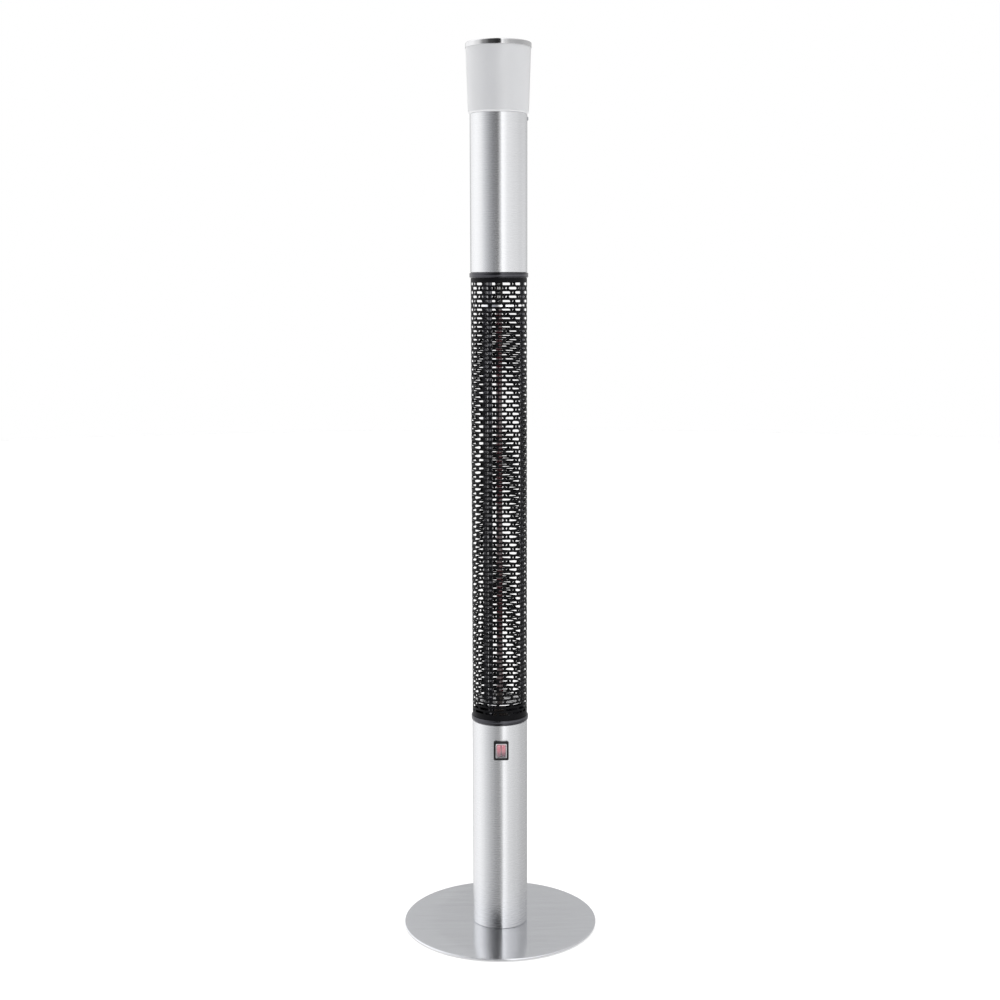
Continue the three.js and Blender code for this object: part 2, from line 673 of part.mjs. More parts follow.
function switchFrame() {
  const saddleDepth = TUBE_RADIUS - Math.sqrt(TUBE_RADIUS ** 2 - (BEZEL_WIDTH / 2) ** 2);
  const bezelBack = PIVOT_DEPTH - BEZEL_THICKNESS - saddleDepth - SEAT_GAP;
  const bezel = facingFront(
    roundedRectangle(BEZEL_WIDTH, BEZEL_HEIGHT, BEZEL_CORNER),
    bezelBack,
    PIVOT_DEPTH,
  );
  const tube = upright(TUBE_RADIUS + SEAT_GAP, 2 * BEZEL_HEIGHT, TUBE_SIDES);
  const saddled = cut(bezel, tube.translate(0, PIVOT_FRONT, -BEZEL_HEIGHT));
  const barrel = frontBox(BARREL_WIDTH, BARREL_HEIGHT / 2, BARREL_BACK, BEZEL_FLOOR);
  const recess = frontBox(
    COVER_WIDTH + 2 * (COVER_FLANGE_MARGIN + SEAT_GAP),
    COVER_HEIGHT / 2 + COVER_FLANGE_MARGIN + SEAT_GAP,
    BEZEL_FLOOR,
    PIVOT_DEPTH + CUT_MARGIN,
  );
  const wells = [-1, 1].map((side) =>
    frontBox(
      ROCKER_WIDTH + 2 * SEAT_GAP,
      ROCKER_SWEEP + SEAT_GAP,
      WELL_FLOOR,
      PIVOT_DEPTH + CUT_MARGIN,
    ).translate(side * ROCKER_OFFSET, 0, 0),
  );
  const slots = terminalPlaces().map((place) =>
    block(
      TERMINAL_THICKNESS + 2 * SEAT_GAP,
      TERMINAL_SEAT + SEAT_GAP + CUT_MARGIN,
      TERMINAL_WIDTH + 2 * SEAT_GAP,
    ).translate(place.x, -BARREL_BACK - (TERMINAL_SEAT + SEAT_GAP - CUT_MARGIN) / 2, place.z),
  );
  return cut(joined(saddled, barrel), recess, ...wells, pinCutter(), ...slots);
}

// One rocker at rest: its upper half is pressed in.
function rocker() {
  const outline = new THREE.Shape();
  outline.moveTo(ROCKER_CORNER, -ROCKER_REACH);
  outline.quadraticCurveTo(2 * ROCKER_FACE - ROCKER_CORNER, 0, ROCKER_CORNER, ROCKER_REACH);
  outline.lineTo(0, ROCKER_REACH - ROCKER_END_TAPER);
  outline.lineTo(-ROCKER_BELLY, ROCKER_BELLY_REACH);
  outline.lineTo(-ROCKER_BELLY, -ROCKER_BELLY_REACH);
  outline.lineTo(0, ROCKER_END_TAPER - ROCKER_REACH);
  outline.closePath();
  const bore = PIN_RADIUS + PIVOT_CLEARANCE;
  const pivot = new THREE.CylinderGeometry(bore, bore, 2 * ROCKER_WIDTH, SMALL_SIDES).rotateZ(Math.PI / 2);
  return cut(sideProfile(outline, ROCKER_WIDTH), pivot).rotateX(radians(-ROCKER_TILT));
}

function rockerPin() {
  const length = 2 * (WELL_HALF_WIDTH + PIN_SEAT);
  return new THREE.CylinderGeometry(PIN_RADIUS, PIN_RADIUS, length, SMALL_SIDES).rotateZ(Math.PI / 2);
}

// A clear soft dome whose flange sits in the bezel's recess.
function splashCover() {
  const seat = BEZEL_FLOOR + SEAT_GAP;
  const front = PIVOT_DEPTH + COVER_DOME;
  const margin = 2 * COVER_FLANGE_MARGIN;
  const flange = facingFront(
    roundedRectangle(COVER_WIDTH + margin, COVER_HEIGHT + margin, COVER_CORNER),
    seat,
    seat + COVER_LIP,
  );
  const dome = facingFront(
    roundedRectangle(COVER_WIDTH, COVER_HEIGHT, COVER_CORNER),
    seat,
    front,
    COVER_BEVEL,
  );
  const hollow = facingFront(
    roundedRectangle(
      COVER_WIDTH - 2 * COVER_WALL,
      COVER_HEIGHT - 2 * COVER_WALL,
      COVER_CORNER - COVER_WALL,
    ),
    seat - CUT_MARGIN,
    front - COVER_WALL,
    COVER_BEVEL,
  );
  return cut(joined(flange, dome), hollow);
}

function switchTerminal() {
  const length = TERMINAL_SEAT + TERMINAL_OUT;
  return block(TERMINAL_THICKNESS, length, TERMINAL_WIDTH).translate(0, TERMINAL_OUT - length / 2, 0);
}

// The gland's pieces are turned about Z and then laid on +Y, their seat on the tube at 0.

function laidBack(geometry) {
  return geometry.rotateX(-Math.PI / 2);
}

function glandBore(radius, from, to) {
  return upright(radius, to - from + 2 * CUT_MARGIN, SMALL_SIDES).translate(0, 0, from - CUT_MARGIN);
}

function glandBody() {
  const inside = GLAND_SEAT - LOCKNUT_SEAT + LOCKNUT_THICKNESS + GLAND_THREAD_SPARE;
  const thread = upright(GLAND_THREAD_RADIUS, inside, SMALL_SIDES).translate(0, 0, -inside);
  const hex = upright(GLAND_HEX_RADIUS, GLAND_HEX_THICKNESS, 6);
  const clamp = upright(GLAND_CLAMP_RADIUS, GLAND_HEX_THICKNESS + GLAND_CLAMP_LENGTH, SMALL_SIDES);
  const bore = glandBore(GLAND_BORE_RADIUS, -inside, GLAND_HEX_THICKNESS + GLAND_CLAMP_LENGTH);
  return laidBack(cut(joined(thread, hex, clamp), bore));
}

function glandLocknut() {
  const nut = upright(LOCKNUT_RADIUS, LOCKNUT_THICKNESS, 6);
  const bore = glandBore(GLAND_THREAD_RADIUS + SEAT_GAP, 0, LOCKNUT_THICKNESS);
  return laidBack(cut(nut, bore));
}

function glandDomeNut() {
  const outer = GLAND_HEX_RADIUS;
  const mouth = GLAND_DOME_MOUTH;
  const rise = GLAND_DOME_LENGTH - (outer - mouth);
  const clampTop = GLAND_CLAMP_LENGTH;
  const shell = turned(
    [
      [GLAND_CLAMP_RADIUS + SEAT_GAP, 0],
      [outer, 0],
      [outer, rise],
      ...roundCorner([mouth, rise], outer - mouth, 0, 90, 3),
      [GLAND_BORE_RADIUS, GLAND_DOME_LENGTH],
      [GLAND_BORE_RADIUS, clampTop],
      [GLAND_CLAMP_RADIUS + SEAT_GAP, clampTop],
    ],
    SMALL_SIDES,
  );
  return laidBack(shell);
}

// ---------------------------------------------------------------------------
// Inside the lower tube
// ---------------------------------------------------------------------------

// An L of sheet: the foot is spot-welded to the flange, the upright faces the switch.
function chassisBracket() {
  const besideFoot = Math.abs(BASE_SCREW_PLACES[1].x);
  const footWidth = 2 * (besideFoot - SCREW_BOSS_RADIUS - CHASSIS_FOOT_CLEARANCE);
  const foot = block(footWidth, CHASSIS_FOOT, CHASSIS_SHEET).translate(
    0,
    CHASSIS_SET_BACK + CHASSIS_SHEET - CHASSIS_FOOT / 2,
    CHASSIS_SHEET / 2,
  );
  const uprightSheet = block(CHASSIS_WIDTH, CHASSIS_SHEET, CHASSIS_HEIGHT).translate(
    0,
    CHASSIS_SET_BACK + CHASSIS_SHEET / 2,
    CHASSIS_HEIGHT / 2,
  );
  return joined(foot, uprightSheet);
}

// A strip of lead ways on the front of the chassis: each has a bore for the leads and a
// screw well that meets it. Its seat on the chassis is y = 0.
function terminalBlock() {
  const body = block(BLOCK_WIDTH, BLOCK_DEPTH, BLOCK_HEIGHT).translate(0, -BLOCK_DEPTH / 2, BLOCK_HEIGHT / 2);
  const cutters = evenRow(BLOCK_WAYS, BLOCK_WIDTH / BLOCK_WAYS).flatMap((x) => {
    const way = upright(LEAD_WAY_RADIUS, BLOCK_HEIGHT + 2 * CUT_MARGIN, SMALL_SIDES);
    const well = new THREE.CylinderGeometry(BLOCK_WELL_RADIUS, BLOCK_WELL_RADIUS, BLOCK_DEPTH, SMALL_SIDES);
    return [
      way.translate(x, -BLOCK_DEPTH / 2, -CUT_MARGIN),
      well.translate(x, -BLOCK_DEPTH, BLOCK_HEIGHT / 2),
    ];
  });
  return cut(body, ...cutters);
}

// The light's driver on the back of the chassis, held by an ear at either end.
function ledDriver() {
  const outline = roundedRectangle(DRIVER_WIDTH, DRIVER_HEIGHT, CHASSIS_SHEET);
  const body = facingFront(outline, -DRIVER_DEPTH, 0).translate(0, 0, DRIVER_HEIGHT / 2);
  const ears = block(DRIVER_EAR_WIDTH, CHASSIS_SHEET, DRIVER_HEIGHT + 2 * DRIVER_EAR);
  return joined(body, ears.translate(0, CHASSIS_SHEET / 2, DRIVER_HEIGHT / 2));
}

// A sealed can with a rolling ball inside, on a flat base on the front of the chassis.
function tiltSwitch() {
  const can = upright(TILT_RADIUS, TILT_HEIGHT, SMALL_SIDES).translate(0, -TILT_RADIUS, 0);
  const base = block(TILT_BASE_WIDTH, TILT_BASE_DEPTH, TILT_BASE_HEIGHT);
  return joined(can, base.translate(0, -TILT_BASE_DEPTH / 2, TILT_HEIGHT / 2));
}

// ---------------------------------------------------------------------------
// Collars, rods and guard
// ---------------------------------------------------------------------------

// A cast ring with a floor across it: a skirt goes into the tube below z = 0, a spigot
// into the guard above. `hand` is -1 for the casting that is used upside down.
function collar(hand) {
  const floorTop = COLLAR_FLOOR_LEVEL + COLLAR_FLOOR;
  const bead = [
    ...roundCorner([COLLAR_RADIUS - COLLAR_ROUND, COLLAR_ROUND], COLLAR_ROUND, -90, 0, 1),
    ...roundCorner([COLLAR_RADIUS - COLLAR_ROUND, COLLAR_HEIGHT - COLLAR_ROUND], COLLAR_ROUND, 0, 90, 1),
  ];
  const casting = turned(
    [
      [COLLAR_HOLE_RADIUS, COLLAR_FLOOR_LEVEL],
      [SKIRT_BORE, COLLAR_FLOOR_LEVEL],
      [SKIRT_BORE, -COLLAR_SKIRT_DEPTH],
      [SKIRT_RADIUS, -COLLAR_SKIRT_DEPTH],
      [SKIRT_RADIUS, 0],
      ...bead,
      [SPIGOT_RADIUS, COLLAR_HEIGHT],
      [SPIGOT_RADIUS, COLLAR_HEIGHT + COLLAR_SPIGOT_HEIGHT],
      [SPIGOT_BORE, COLLAR_HEIGHT + COLLAR_SPIGOT_HEIGHT],
      [SPIGOT_BORE, floorTop],
      [COLLAR_HOLE_RADIUS, floorTop],
    ],
    COLLAR_SIDES,
  );
  const holes = ROD_ANGLES.map((angle) => {
    const place = around(ROD_CIRCLE, hand * angle);
    const hole = upright(ROD_NECK_RADIUS + SEAT_GAP, COLLAR_FLOOR + 2 * CUT_MARGIN, SMALL_SIDES);
    return hole.translate(place.x, place.y, COLLAR_FLOOR_LEVEL - CUT_MARGIN);
  });
  return cut(casting, ...holes);
}

// A hollow rod with a threaded neck at either end, its body's foot on z = 0.
function tieRod() {
  const body = ROD_BODY_TOP - ROD_BODY_BOTTOM;
  const profile = [
    [ROD_BORE_RADIUS, -ROD_NECK],
    [ROD_NECK_RADIUS, -ROD_NECK],
    [ROD_NECK_RADIUS, 0],
    [ROD_RADIUS, 0],
    [ROD_RADIUS, body],
    [ROD_NECK_RADIUS, body],
    [ROD_NECK_RADIUS, body + ROD_NECK],
    [ROD_BORE_RADIUS, body + ROD_NECK],
  ];
  return turned(profile, SMALL_SIDES);
}

function rodNut() {
  const bore = upright(ROD_NECK_RADIUS + SEAT_GAP, NUT_HEIGHT + 2 * CUT_MARGIN, SMALL_SIDES);
  return cut(upright(NUT_CORNER, NUT_HEIGHT, 6), bore.translate(0, 0, -CUT_MARGIN));
}

// The perforated tube. Rows of slots stand half a slot pitch off the rows beside them.
function guard() {
  const blank = turned(
    [
      [GUARD_RADIUS - GUARD_WALL, 0],
      [GUARD_RADIUS, 0],
      [GUARD_RADIUS, GUARD_LENGTH],
      [GUARD_RADIUS - GUARD_WALL, GUARD_LENGTH],
    ],
    GUARD_SIDES,
  );
  const rows = Math.floor((GUARD_LENGTH - 2 * GUARD_END_BAND + SLOT_BAR) / SLOT_PITCH);
  const firstRow = (GUARD_LENGTH - (rows - 1) * SLOT_PITCH) / 2;
  const sagitta = SLOT_WIDTH ** 2 / (8 * GUARD_BORE);
  const start = GUARD_BORE - sagitta - CUT_MARGIN;
  const depth = GUARD_RADIUS + CUT_MARGIN - start;
  const slots = Array.from({ length: rows }, (_, row) => {
    const stagger = (row % 2) * (180 / SLOTS_PER_ROW);
    return evenAngles(SLOTS_PER_ROW, FRONT_ANGLE + stagger).map((angle) =>
      block(depth, SLOT_WIDTH, SLOT_HEIGHT)
        .translate(start + depth / 2, 0, 0)
        .rotateZ(radians(angle))
        .translate(0, 0, firstRow + row * SLOT_PITCH),
    );
  }).flat();
  const tool = wasm.Manifold.union(slots.map(toSolid));
  return toGeometry(toSolid(blank).subtract(tool));
}

// ---------------------------------------------------------------------------
// Lamp
// ---------------------------------------------------------------------------

// A disc across the guard with a notch for each rod.
function spacerDisc(holeRadius) {
  const profile = [
    [holeRadius, 0],
    [DISC_RADIUS, 0],
    [DISC_RADIUS, DISC_THICKNESS],
    [holeRadius, DISC_THICKNESS],
  ];
  const notches = ROD_ANGLES.map((angle) => {
    const place = around(ROD_CIRCLE, angle);
    const notch = upright(ROD_RADIUS + SEAT_GAP, DISC_THICKNESS + 2 * CUT_MARGIN, SMALL_SIDES);
    return notch.translate(place.x, place.y, -CUT_MARGIN);
  });
  return cut(turned(profile, INNER_SIDES), ...notches);
}

// The ceramic holder stands over the collar's hole, carries the lower disc on its
// shoulder and takes the lamp in its bore.
function lowerLampHolder() {
  const base = COLLAR_HOLE_RADIUS + HOLDER_BASE_OVERLAP;
  const body = HOLDER_SPIGOT_RADIUS + HOLDER_SHOULDER_WIDTH;
  const seat = LAMP_RADIUS + SEAT_GAP;
  const top = HOLDER_SHOULDER + HOLDER_SPIGOT;
  const profile = [
    [LEAD_WAY_RADIUS, 0],
    [base, 0],
    [base, HOLDER_BASE_HEIGHT],
    [body, HOLDER_BASE_HEIGHT],
    [body, HOLDER_SHOULDER],
    [HOLDER_SPIGOT_RADIUS, HOLDER_SHOULDER],
    [HOLDER_SPIGOT_RADIUS, top],
    [seat, top],
    [seat, top - HOLDER_SEAT_DEPTH],
    [LEAD_WAY_RADIUS, top - HOLDER_SEAT_DEPTH],
  ];
  return turned(profile, SMALL_SIDES);
}

// A sheet bracket that hangs the upper disc on two legs, with the lead between them.
function upperLampBracket() {
  const depth = 2 * (COLLAR_HOLE_RADIUS + BRACKET_FLANGE_SEAT);
  const flange = block(BRACKET_WIDTH, depth, BRACKET_SHEET);
  const legs = [-1, 1].map((side) =>
    block(BRACKET_LEG_WIDTH, BRACKET_LEG_DEPTH, BRACKET_HEIGHT).translate(
      (side * (BRACKET_WIDTH - BRACKET_LEG_WIDTH)) / 2,
      0,
      BRACKET_HEIGHT / 2,
    ),
  );
  const whole = joined(flange.translate(0, 0, BRACKET_HEIGHT - BRACKET_SHEET / 2), ...legs);
  const way = upright(LEAD_WAY_RADIUS, BRACKET_HEIGHT + CUT_MARGIN, SMALL_SIDES);
  return cut(whole, way);
}

// A cap with a plug that goes into the quartz and a seat for the filament's end.
function lampCap(length) {
  const plug = QUARTZ_BORE - SEAT_GAP;
  const seat = FILAMENT_RADIUS + SEAT_GAP;
  const top = length + LAMP_CAP_PLUG;
  const profile = [
    [0, 0],
    [LAMP_RADIUS, 0],
    [LAMP_RADIUS, length],
    [plug, length],
    [plug, top],
    [seat, top],
    [seat, top - FILAMENT_SEAT_DEPTH],
    [0, top - FILAMENT_SEAT_DEPTH],
  ];
  return turned(profile, SMALL_SIDES);
}

function lampTube() {
  const length = QUARTZ_TOP - QUARTZ_BOTTOM;
  const profile = [
    [QUARTZ_BORE, 0],
    [LAMP_RADIUS, 0],
    [LAMP_RADIUS, length],
    [QUARTZ_BORE, length],
  ];
  return turned(profile, SMALL_SIDES);
}

function lampFilament() {
  return upright(FILAMENT_RADIUS, QUARTZ_TOP - QUARTZ_BOTTOM - 2 * FILAMENT_REACH, SMALL_SIDES);
}

// ---------------------------------------------------------------------------
// Light head
// ---------------------------------------------------------------------------

function upperTube() {
  const holes = HEAD_SCREW_ANGLES.map((angle) =>
    headScrewHole(angle).translate(0, 0, UPPER_TUBE_LENGTH - HEAD_SCREW_DROP),
  );
  return cut(tubeBlank(UPPER_TUBE_LENGTH), ...holes);
}

function headScrewHole(angle) {
  const radius = HEAD_SCREW_RADIUS + SEAT_GAP;
  return new THREE.CylinderGeometry(radius, radius, TUBE_RADIUS, SMALL_SIDES)
    .rotateZ(Math.PI / 2)
    .translate(TUBE_RADIUS, 0, 0)
    .rotateZ(radians(angle));
}

// A pan-head screw along +X, the underside of its head on x = 0.
function headScrew() {
  const profile = [
    [0, -HEAD_SCREW_LENGTH],
    [HEAD_SCREW_RADIUS, -HEAD_SCREW_LENGTH],
    [HEAD_SCREW_RADIUS, 0],
    [HEAD_SCREW_HEAD_RADIUS, 0],
    [HEAD_SCREW_HEAD_RADIUS, HEAD_SCREW_HEAD / 2],
    [HEAD_SCREW_HEAD_RADIUS / 2, HEAD_SCREW_HEAD],
    [0, HEAD_SCREW_HEAD],
  ];
  return turned(profile, SMALL_SIDES).rotateY(Math.PI / 2);
}

// A cast cup, mouth down, in the top of the upper tube. Its top face is z = 0.
function lightCarrier() {
  const bore = POST_NECK_RADIUS + SEAT_GAP;
  const cup = turned(
    [
      [bore, -CARRIER_BOSS_DEPTH],
      [CARRIER_BOSS_RADIUS, -CARRIER_BOSS_DEPTH],
      [CARRIER_BOSS_RADIUS, -CARRIER_PLATE],
      [SKIRT_RADIUS - CARRIER_WALL, -CARRIER_PLATE],
      [SKIRT_RADIUS - CARRIER_WALL, -CARRIER_DEPTH],
      [SKIRT_RADIUS, -CARRIER_DEPTH],
      [SKIRT_RADIUS, 0],
      [bore, 0],
    ],
    INNER_SIDES,
  );
  const way = upright(LEAD_WAY_RADIUS, CARRIER_PLATE + 2 * CUT_MARGIN, SMALL_SIDES).translate(
    CARRIER_LEAD_PLACE.x,
    CARRIER_LEAD_PLACE.y,
    -CARRIER_PLATE - CUT_MARGIN,
  );
  const threads = HEAD_SCREW_ANGLES.map((angle) => headScrewHole(angle).translate(0, 0, -HEAD_SCREW_DROP));
  return cut(cup, way, ...threads);
}

// A ring of light-emitting diodes on a round board.
function ledBoard() {
  const bore = POST_NECK_RADIUS + SEAT_GAP;
  const board = turned(
    [
      [bore, 0],
      [BOARD_RADIUS, 0],
      [BOARD_RADIUS, BOARD_THICKNESS],
      [bore, BOARD_THICKNESS],
    ],
    INNER_SIDES,
  );
  const diodes = evenAngles(LED_COUNT).map((angle) =>
    block(LED_SIDE, LED_SIDE, 2 * LED_HEIGHT)
      .translate(LED_CIRCLE, 0, BOARD_THICKNESS)
      .rotateZ(radians(angle)),
  );
  const underside = upright(BOARD_RADIUS, BOARD_THICKNESS, INNER_SIDES).translate(0, 0, -BOARD_THICKNESS);
  return cut(joined(board, ...diodes), underside);
}

// The post clamps the board to the carrier and holds the cap, its shoulder on z = 0.
function shadePost() {
  const length = CAP_BOSS_BOTTOM - SEAT_GAP - POST_BOTTOM;
  const neckBelow = BOARD_THICKNESS + 2 * SEAT_GAP + POST_THREAD;
  const profile = [
    [0, -neckBelow],
    [POST_NECK_RADIUS, -neckBelow],
    [POST_NECK_RADIUS, 0],
    [POST_SHOULDER_RADIUS, 0],
    [POST_SHOULDER_RADIUS, POST_SHOULDER],
    [POST_RADIUS, POST_SHOULDER],
    [POST_RADIUS, length],
    [POST_NECK_RADIUS, length],
    [POST_NECK_RADIUS, length + POST_THREAD],
    [0, length + POST_THREAD],
  ];
  return turned(profile, SMALL_SIDES);
}

// A flared shell with a rounded foot and a lip that rests on the tube and the carrier.
function shade() {
  const lip = BOARD_RADIUS + SHADE_LIP_GAP;
  const profile = [
    [lip, 0],
    ...roundCorner([SHADE_FOOT_RADIUS - SHADE_ROUND, SHADE_ROUND], SHADE_ROUND, -90, 0, 2),
    [SHADE_TOP_RADIUS, SHADE_HEIGHT],
    [SHADE_TOP_RADIUS - SHADE_WALL, SHADE_HEIGHT],
    [SHADE_FOOT_RADIUS - SHADE_WALL, SHADE_ROUND],
    [SHADE_FOOT_RADIUS - SHADE_ROUND, SHADE_WALL],
    [lip, SHADE_WALL],
  ];
  return turned(profile, SHADE_SIDES);
}

// A pressed lid with a threaded boss under its middle, the foot of its rim on z = 0.
function topCap() {
  const bore = POST_NECK_RADIUS + SEAT_GAP;
  const ceiling = CAP_HEIGHT - CAP_WALL;
  const bossBottom = ceiling - CAP_BOSS_DEPTH;
  const profile = [
    [0, CAP_HEIGHT],
    ...roundCorner([CAP_RADIUS - CAP_ROUND, CAP_HEIGHT - CAP_ROUND], CAP_ROUND, 90, 0, 1),
    [CAP_RADIUS, 0],
    [CAP_RADIUS - CAP_WALL, 0],
    [CAP_RADIUS - CAP_WALL, ceiling],
    [CAP_BOSS_RADIUS, ceiling],
    [CAP_BOSS_RADIUS, bossBottom],
    [bore, bossBottom],
    [bore, bossBottom + POST_THREAD],
    [0, bossBottom + POST_THREAD],
  ];
  return turned(profile, SHADE_SIDES);
}

// ---------------------------------------------------------------------------
// Leads
// ---------------------------------------------------------------------------

function throughRod(angle) {
  return [
    around(ROD_CIRCLE, angle, ROD_END_BOTTOM - LEAD_SLACK),
    around(ROD_CIRCLE, angle, ROD_END_TOP + LEAD_SLACK),
  ];
}

// From the terminal block up the axis into the foot of the lamp.
function lowerLampLead() {
  return lead([
    new THREE.Vector3(-BLOCK_WAY_X, BLOCK_WAY_Y, BLOCK_TOP - BLOCK_HEIGHT / 4),
    new THREE.Vector3(-BLOCK_WAY_X, BLOCK_WAY_Y, BLOCK_TOP + LEAD_SLACK),
    new THREE.Vector3(0, 0, LOWER_FLOOR_BOTTOM - LEAD_SLACK),
    new THREE.Vector3(0, 0, LAMP_BOTTOM - SEAT_GAP),
  ]);
}

// From the terminal block up the first rod, over, and down into the top of the lamp.
function upperLampLead() {
  const [below, above] = throughRod(ROD_ANGLES[0]);
  return lead([
    new THREE.Vector3(BLOCK_WAY_X, BLOCK_WAY_Y, BLOCK_TOP - BLOCK_HEIGHT / 4),
    new THREE.Vector3(BLOCK_WAY_X, BLOCK_WAY_Y, BLOCK_TOP + LEAD_SLACK),
    below,
    above,
    new THREE.Vector3(0, 0, above.z),
    new THREE.Vector3(0, 0, LAMP_TOP + SEAT_GAP),
  ]);
}

// From the driver up the second rod to the underside of the board.
function lightLead() {
  const [below, above] = throughRod(ROD_ANGLES[1]);
  const way = CARRIER_LEAD_PLACE;
  return lead([
    new THREE.Vector3(0, DRIVER_Y, DRIVER_TOP + SEAT_GAP),
    new THREE.Vector3(0, DRIVER_Y, DRIVER_TOP + LEAD_SLACK),
    below,
    above,
    new THREE.Vector3(way.x, way.y, UPPER_TUBE_TOP - CARRIER_DEPTH),
    new THREE.Vector3(way.x, way.y, BOARD_BOTTOM - SEAT_GAP),
  ]);
}

// ---------------------------------------------------------------------------
// Assembly
// ---------------------------------------------------------------------------

const tower = new THREE.Group();

function section(x, y, z) {
  const group = new THREE.Group();
  group.position.set(x, y, z);
  tower.add(group);
  return group;
}

function place(group, name, geometry, material, position = [0, 0, 0], turn = [0, 0, 0]) {
  const mesh = new THREE.Mesh(geometry, material);
  mesh.name = name;
  mesh.position.set(...position);
  mesh.rotation.set(...turn);
  group.add(mesh);
}

const UPSIDE_DOWN = [Math.PI, 0, 0];

const base = section(0, 0, 0);
evenAngles(PAD_COUNT, FRONT_ANGLE).forEach((angle, index) => {
  place(base, `floor_pad_${index + 1}`, floorPad(), blackRubber, around(PAD_CIRCLE, angle).toArray());
});
place(base, "base_plate", basePlate(), brushedSteel, [0, 0, PLATE_BOTTOM]);
BASE_SCREW_PLACES.forEach((spot, index) => {
  place(base, `base_screw_${index + 1}`, baseScrew(), zincedSteel, [spot.x, spot.y, PLATE_BOTTOM]);
});

const column = section(0, 0, LOWER_TUBE_BOTTOM);
place(column, "lower_tube", lowerTube(), brushedSteel);
place(column, "base_flange", baseFlange(), zincedSteel);
place(column, "gland_body", glandBody(), blackPlastic, [0, GLAND_SEAT, GLAND_HEIGHT]);
place(column, "gland_locknut", glandLocknut(), blackPlastic, [
  0,
  LOCKNUT_SEAT - LOCKNUT_THICKNESS,
  GLAND_HEIGHT,
]);
place(column, "gland_dome_nut", glandDomeNut(), blackPlastic, [
  0,
  GLAND_SEAT + GLAND_HEX_THICKNESS + SEAT_GAP,
  GLAND_HEIGHT,
]);

const switchUnit = section(0, -PIVOT_FRONT, LOWER_TUBE_BOTTOM + SWITCH_HEIGHT);
place(switchUnit, "switch_frame", switchFrame(), blackPlastic);
place(switchUnit, "heat_rocker", rocker(), redPlastic, [-ROCKER_OFFSET, 0, 0]);
place(switchUnit, "light_rocker", rocker(), redPlastic, [ROCKER_OFFSET, 0, 0]);
place(switchUnit, "rocker_pin", rockerPin(), zincedSteel);
place(switchUnit, "splash_cover", splashCover(), clearPlastic);
terminalPlaces().forEach((spot, index) => {
  place(switchUnit, `switch_terminal_${index + 1}`, switchTerminal(), brass, [
    spot.x,
    -BARREL_BACK,
    spot.z,
  ]);
});

const chassis = section(0, 0, CHASSIS_BOTTOM);
const chassisFront = CHASSIS_SET_BACK - SEAT_GAP;
const chassisBack = CHASSIS_SET_BACK + CHASSIS_SHEET + SEAT_GAP;
place(chassis, "chassis_bracket", chassisBracket(), zincedSteel);
place(chassis, "terminal_block", terminalBlock(), whitePlastic, [0, chassisFront, BLOCK_LEVEL]);
place(chassis, "tilt_switch", tiltSwitch(), greyPlastic, [0, chassisFront, TILT_LEVEL]);
place(chassis, "led_driver", ledDriver(), whitePlastic, [0, chassisBack, DRIVER_LEVEL]);

const heater = section(0, 0, 0);
place(heater, "lower_collar", collar(1), greyPaint, [0, 0, LOWER_COLLAR_BOTTOM]);
place(heater, "upper_collar", collar(-1), greyPaint, [0, 0, UPPER_COLLAR_TOP], UPSIDE_DOWN);
place(heater, "guard", guard(), blackEnamel, [0, 0, GUARD_BOTTOM], [0, 0, radians(GUARD_TURN)]);
ROD_ANGLES.forEach((angle, index) => {
  const foot = around(ROD_CIRCLE, angle, ROD_BODY_BOTTOM);
  const lowerNut = around(ROD_CIRCLE, angle, LOWER_FLOOR_BOTTOM - SEAT_GAP - NUT_HEIGHT);
  const upperNut = around(ROD_CIRCLE, angle, UPPER_FLOOR_TOP + SEAT_GAP);
  place(heater, `tie_rod_${index + 1}`, tieRod(), slatePaint, foot.toArray());
  const turn = [0, 0, radians(angle)]; // a flat of each nut faces outwards
  place(heater, `lower_rod_nut_${index + 1}`, rodNut(), zincedSteel, lowerNut.toArray(), turn);
  place(heater, `upper_rod_nut_${index + 1}`, rodNut(), zincedSteel, upperNut.toArray(), turn);
});
place(heater, "lower_lamp_holder", lowerLampHolder(), ceramic, [0, 0, HOLDER_BOTTOM]);
place(heater, "lower_reflector", spacerDisc(HOLDER_SPIGOT_RADIUS + SEAT_GAP), mirrorSteel, [
  0,
  0,
  LOWER_DISC_BOTTOM,
]);
place(heater, "upper_reflector", spacerDisc(LEAD_WAY_RADIUS), heatedSteel, [0, 0, UPPER_DISC_BOTTOM]);
place(heater, "upper_lamp_bracket", upperLampBracket(), heatedSteel, [0, 0, UPPER_DISC_TOP + SEAT_GAP]);
place(heater, "lower_lamp_cap", lampCap(LAMP_LOWER_CAP_LENGTH), ceramic, [0, 0, LAMP_BOTTOM]);
place(heater, "upper_lamp_cap", lampCap(LAMP_UPPER_CAP_LENGTH), ceramic, [0, 0, LAMP_TOP], UPSIDE_DOWN);
place(heater, "lamp_tube", lampTube(), rubyQuartz, [0, 0, QUARTZ_BOTTOM]);
place(heater, "lamp_filament", lampFilament(), glowingWire, [0, 0, QUARTZ_BOTTOM + FILAMENT_REACH]);

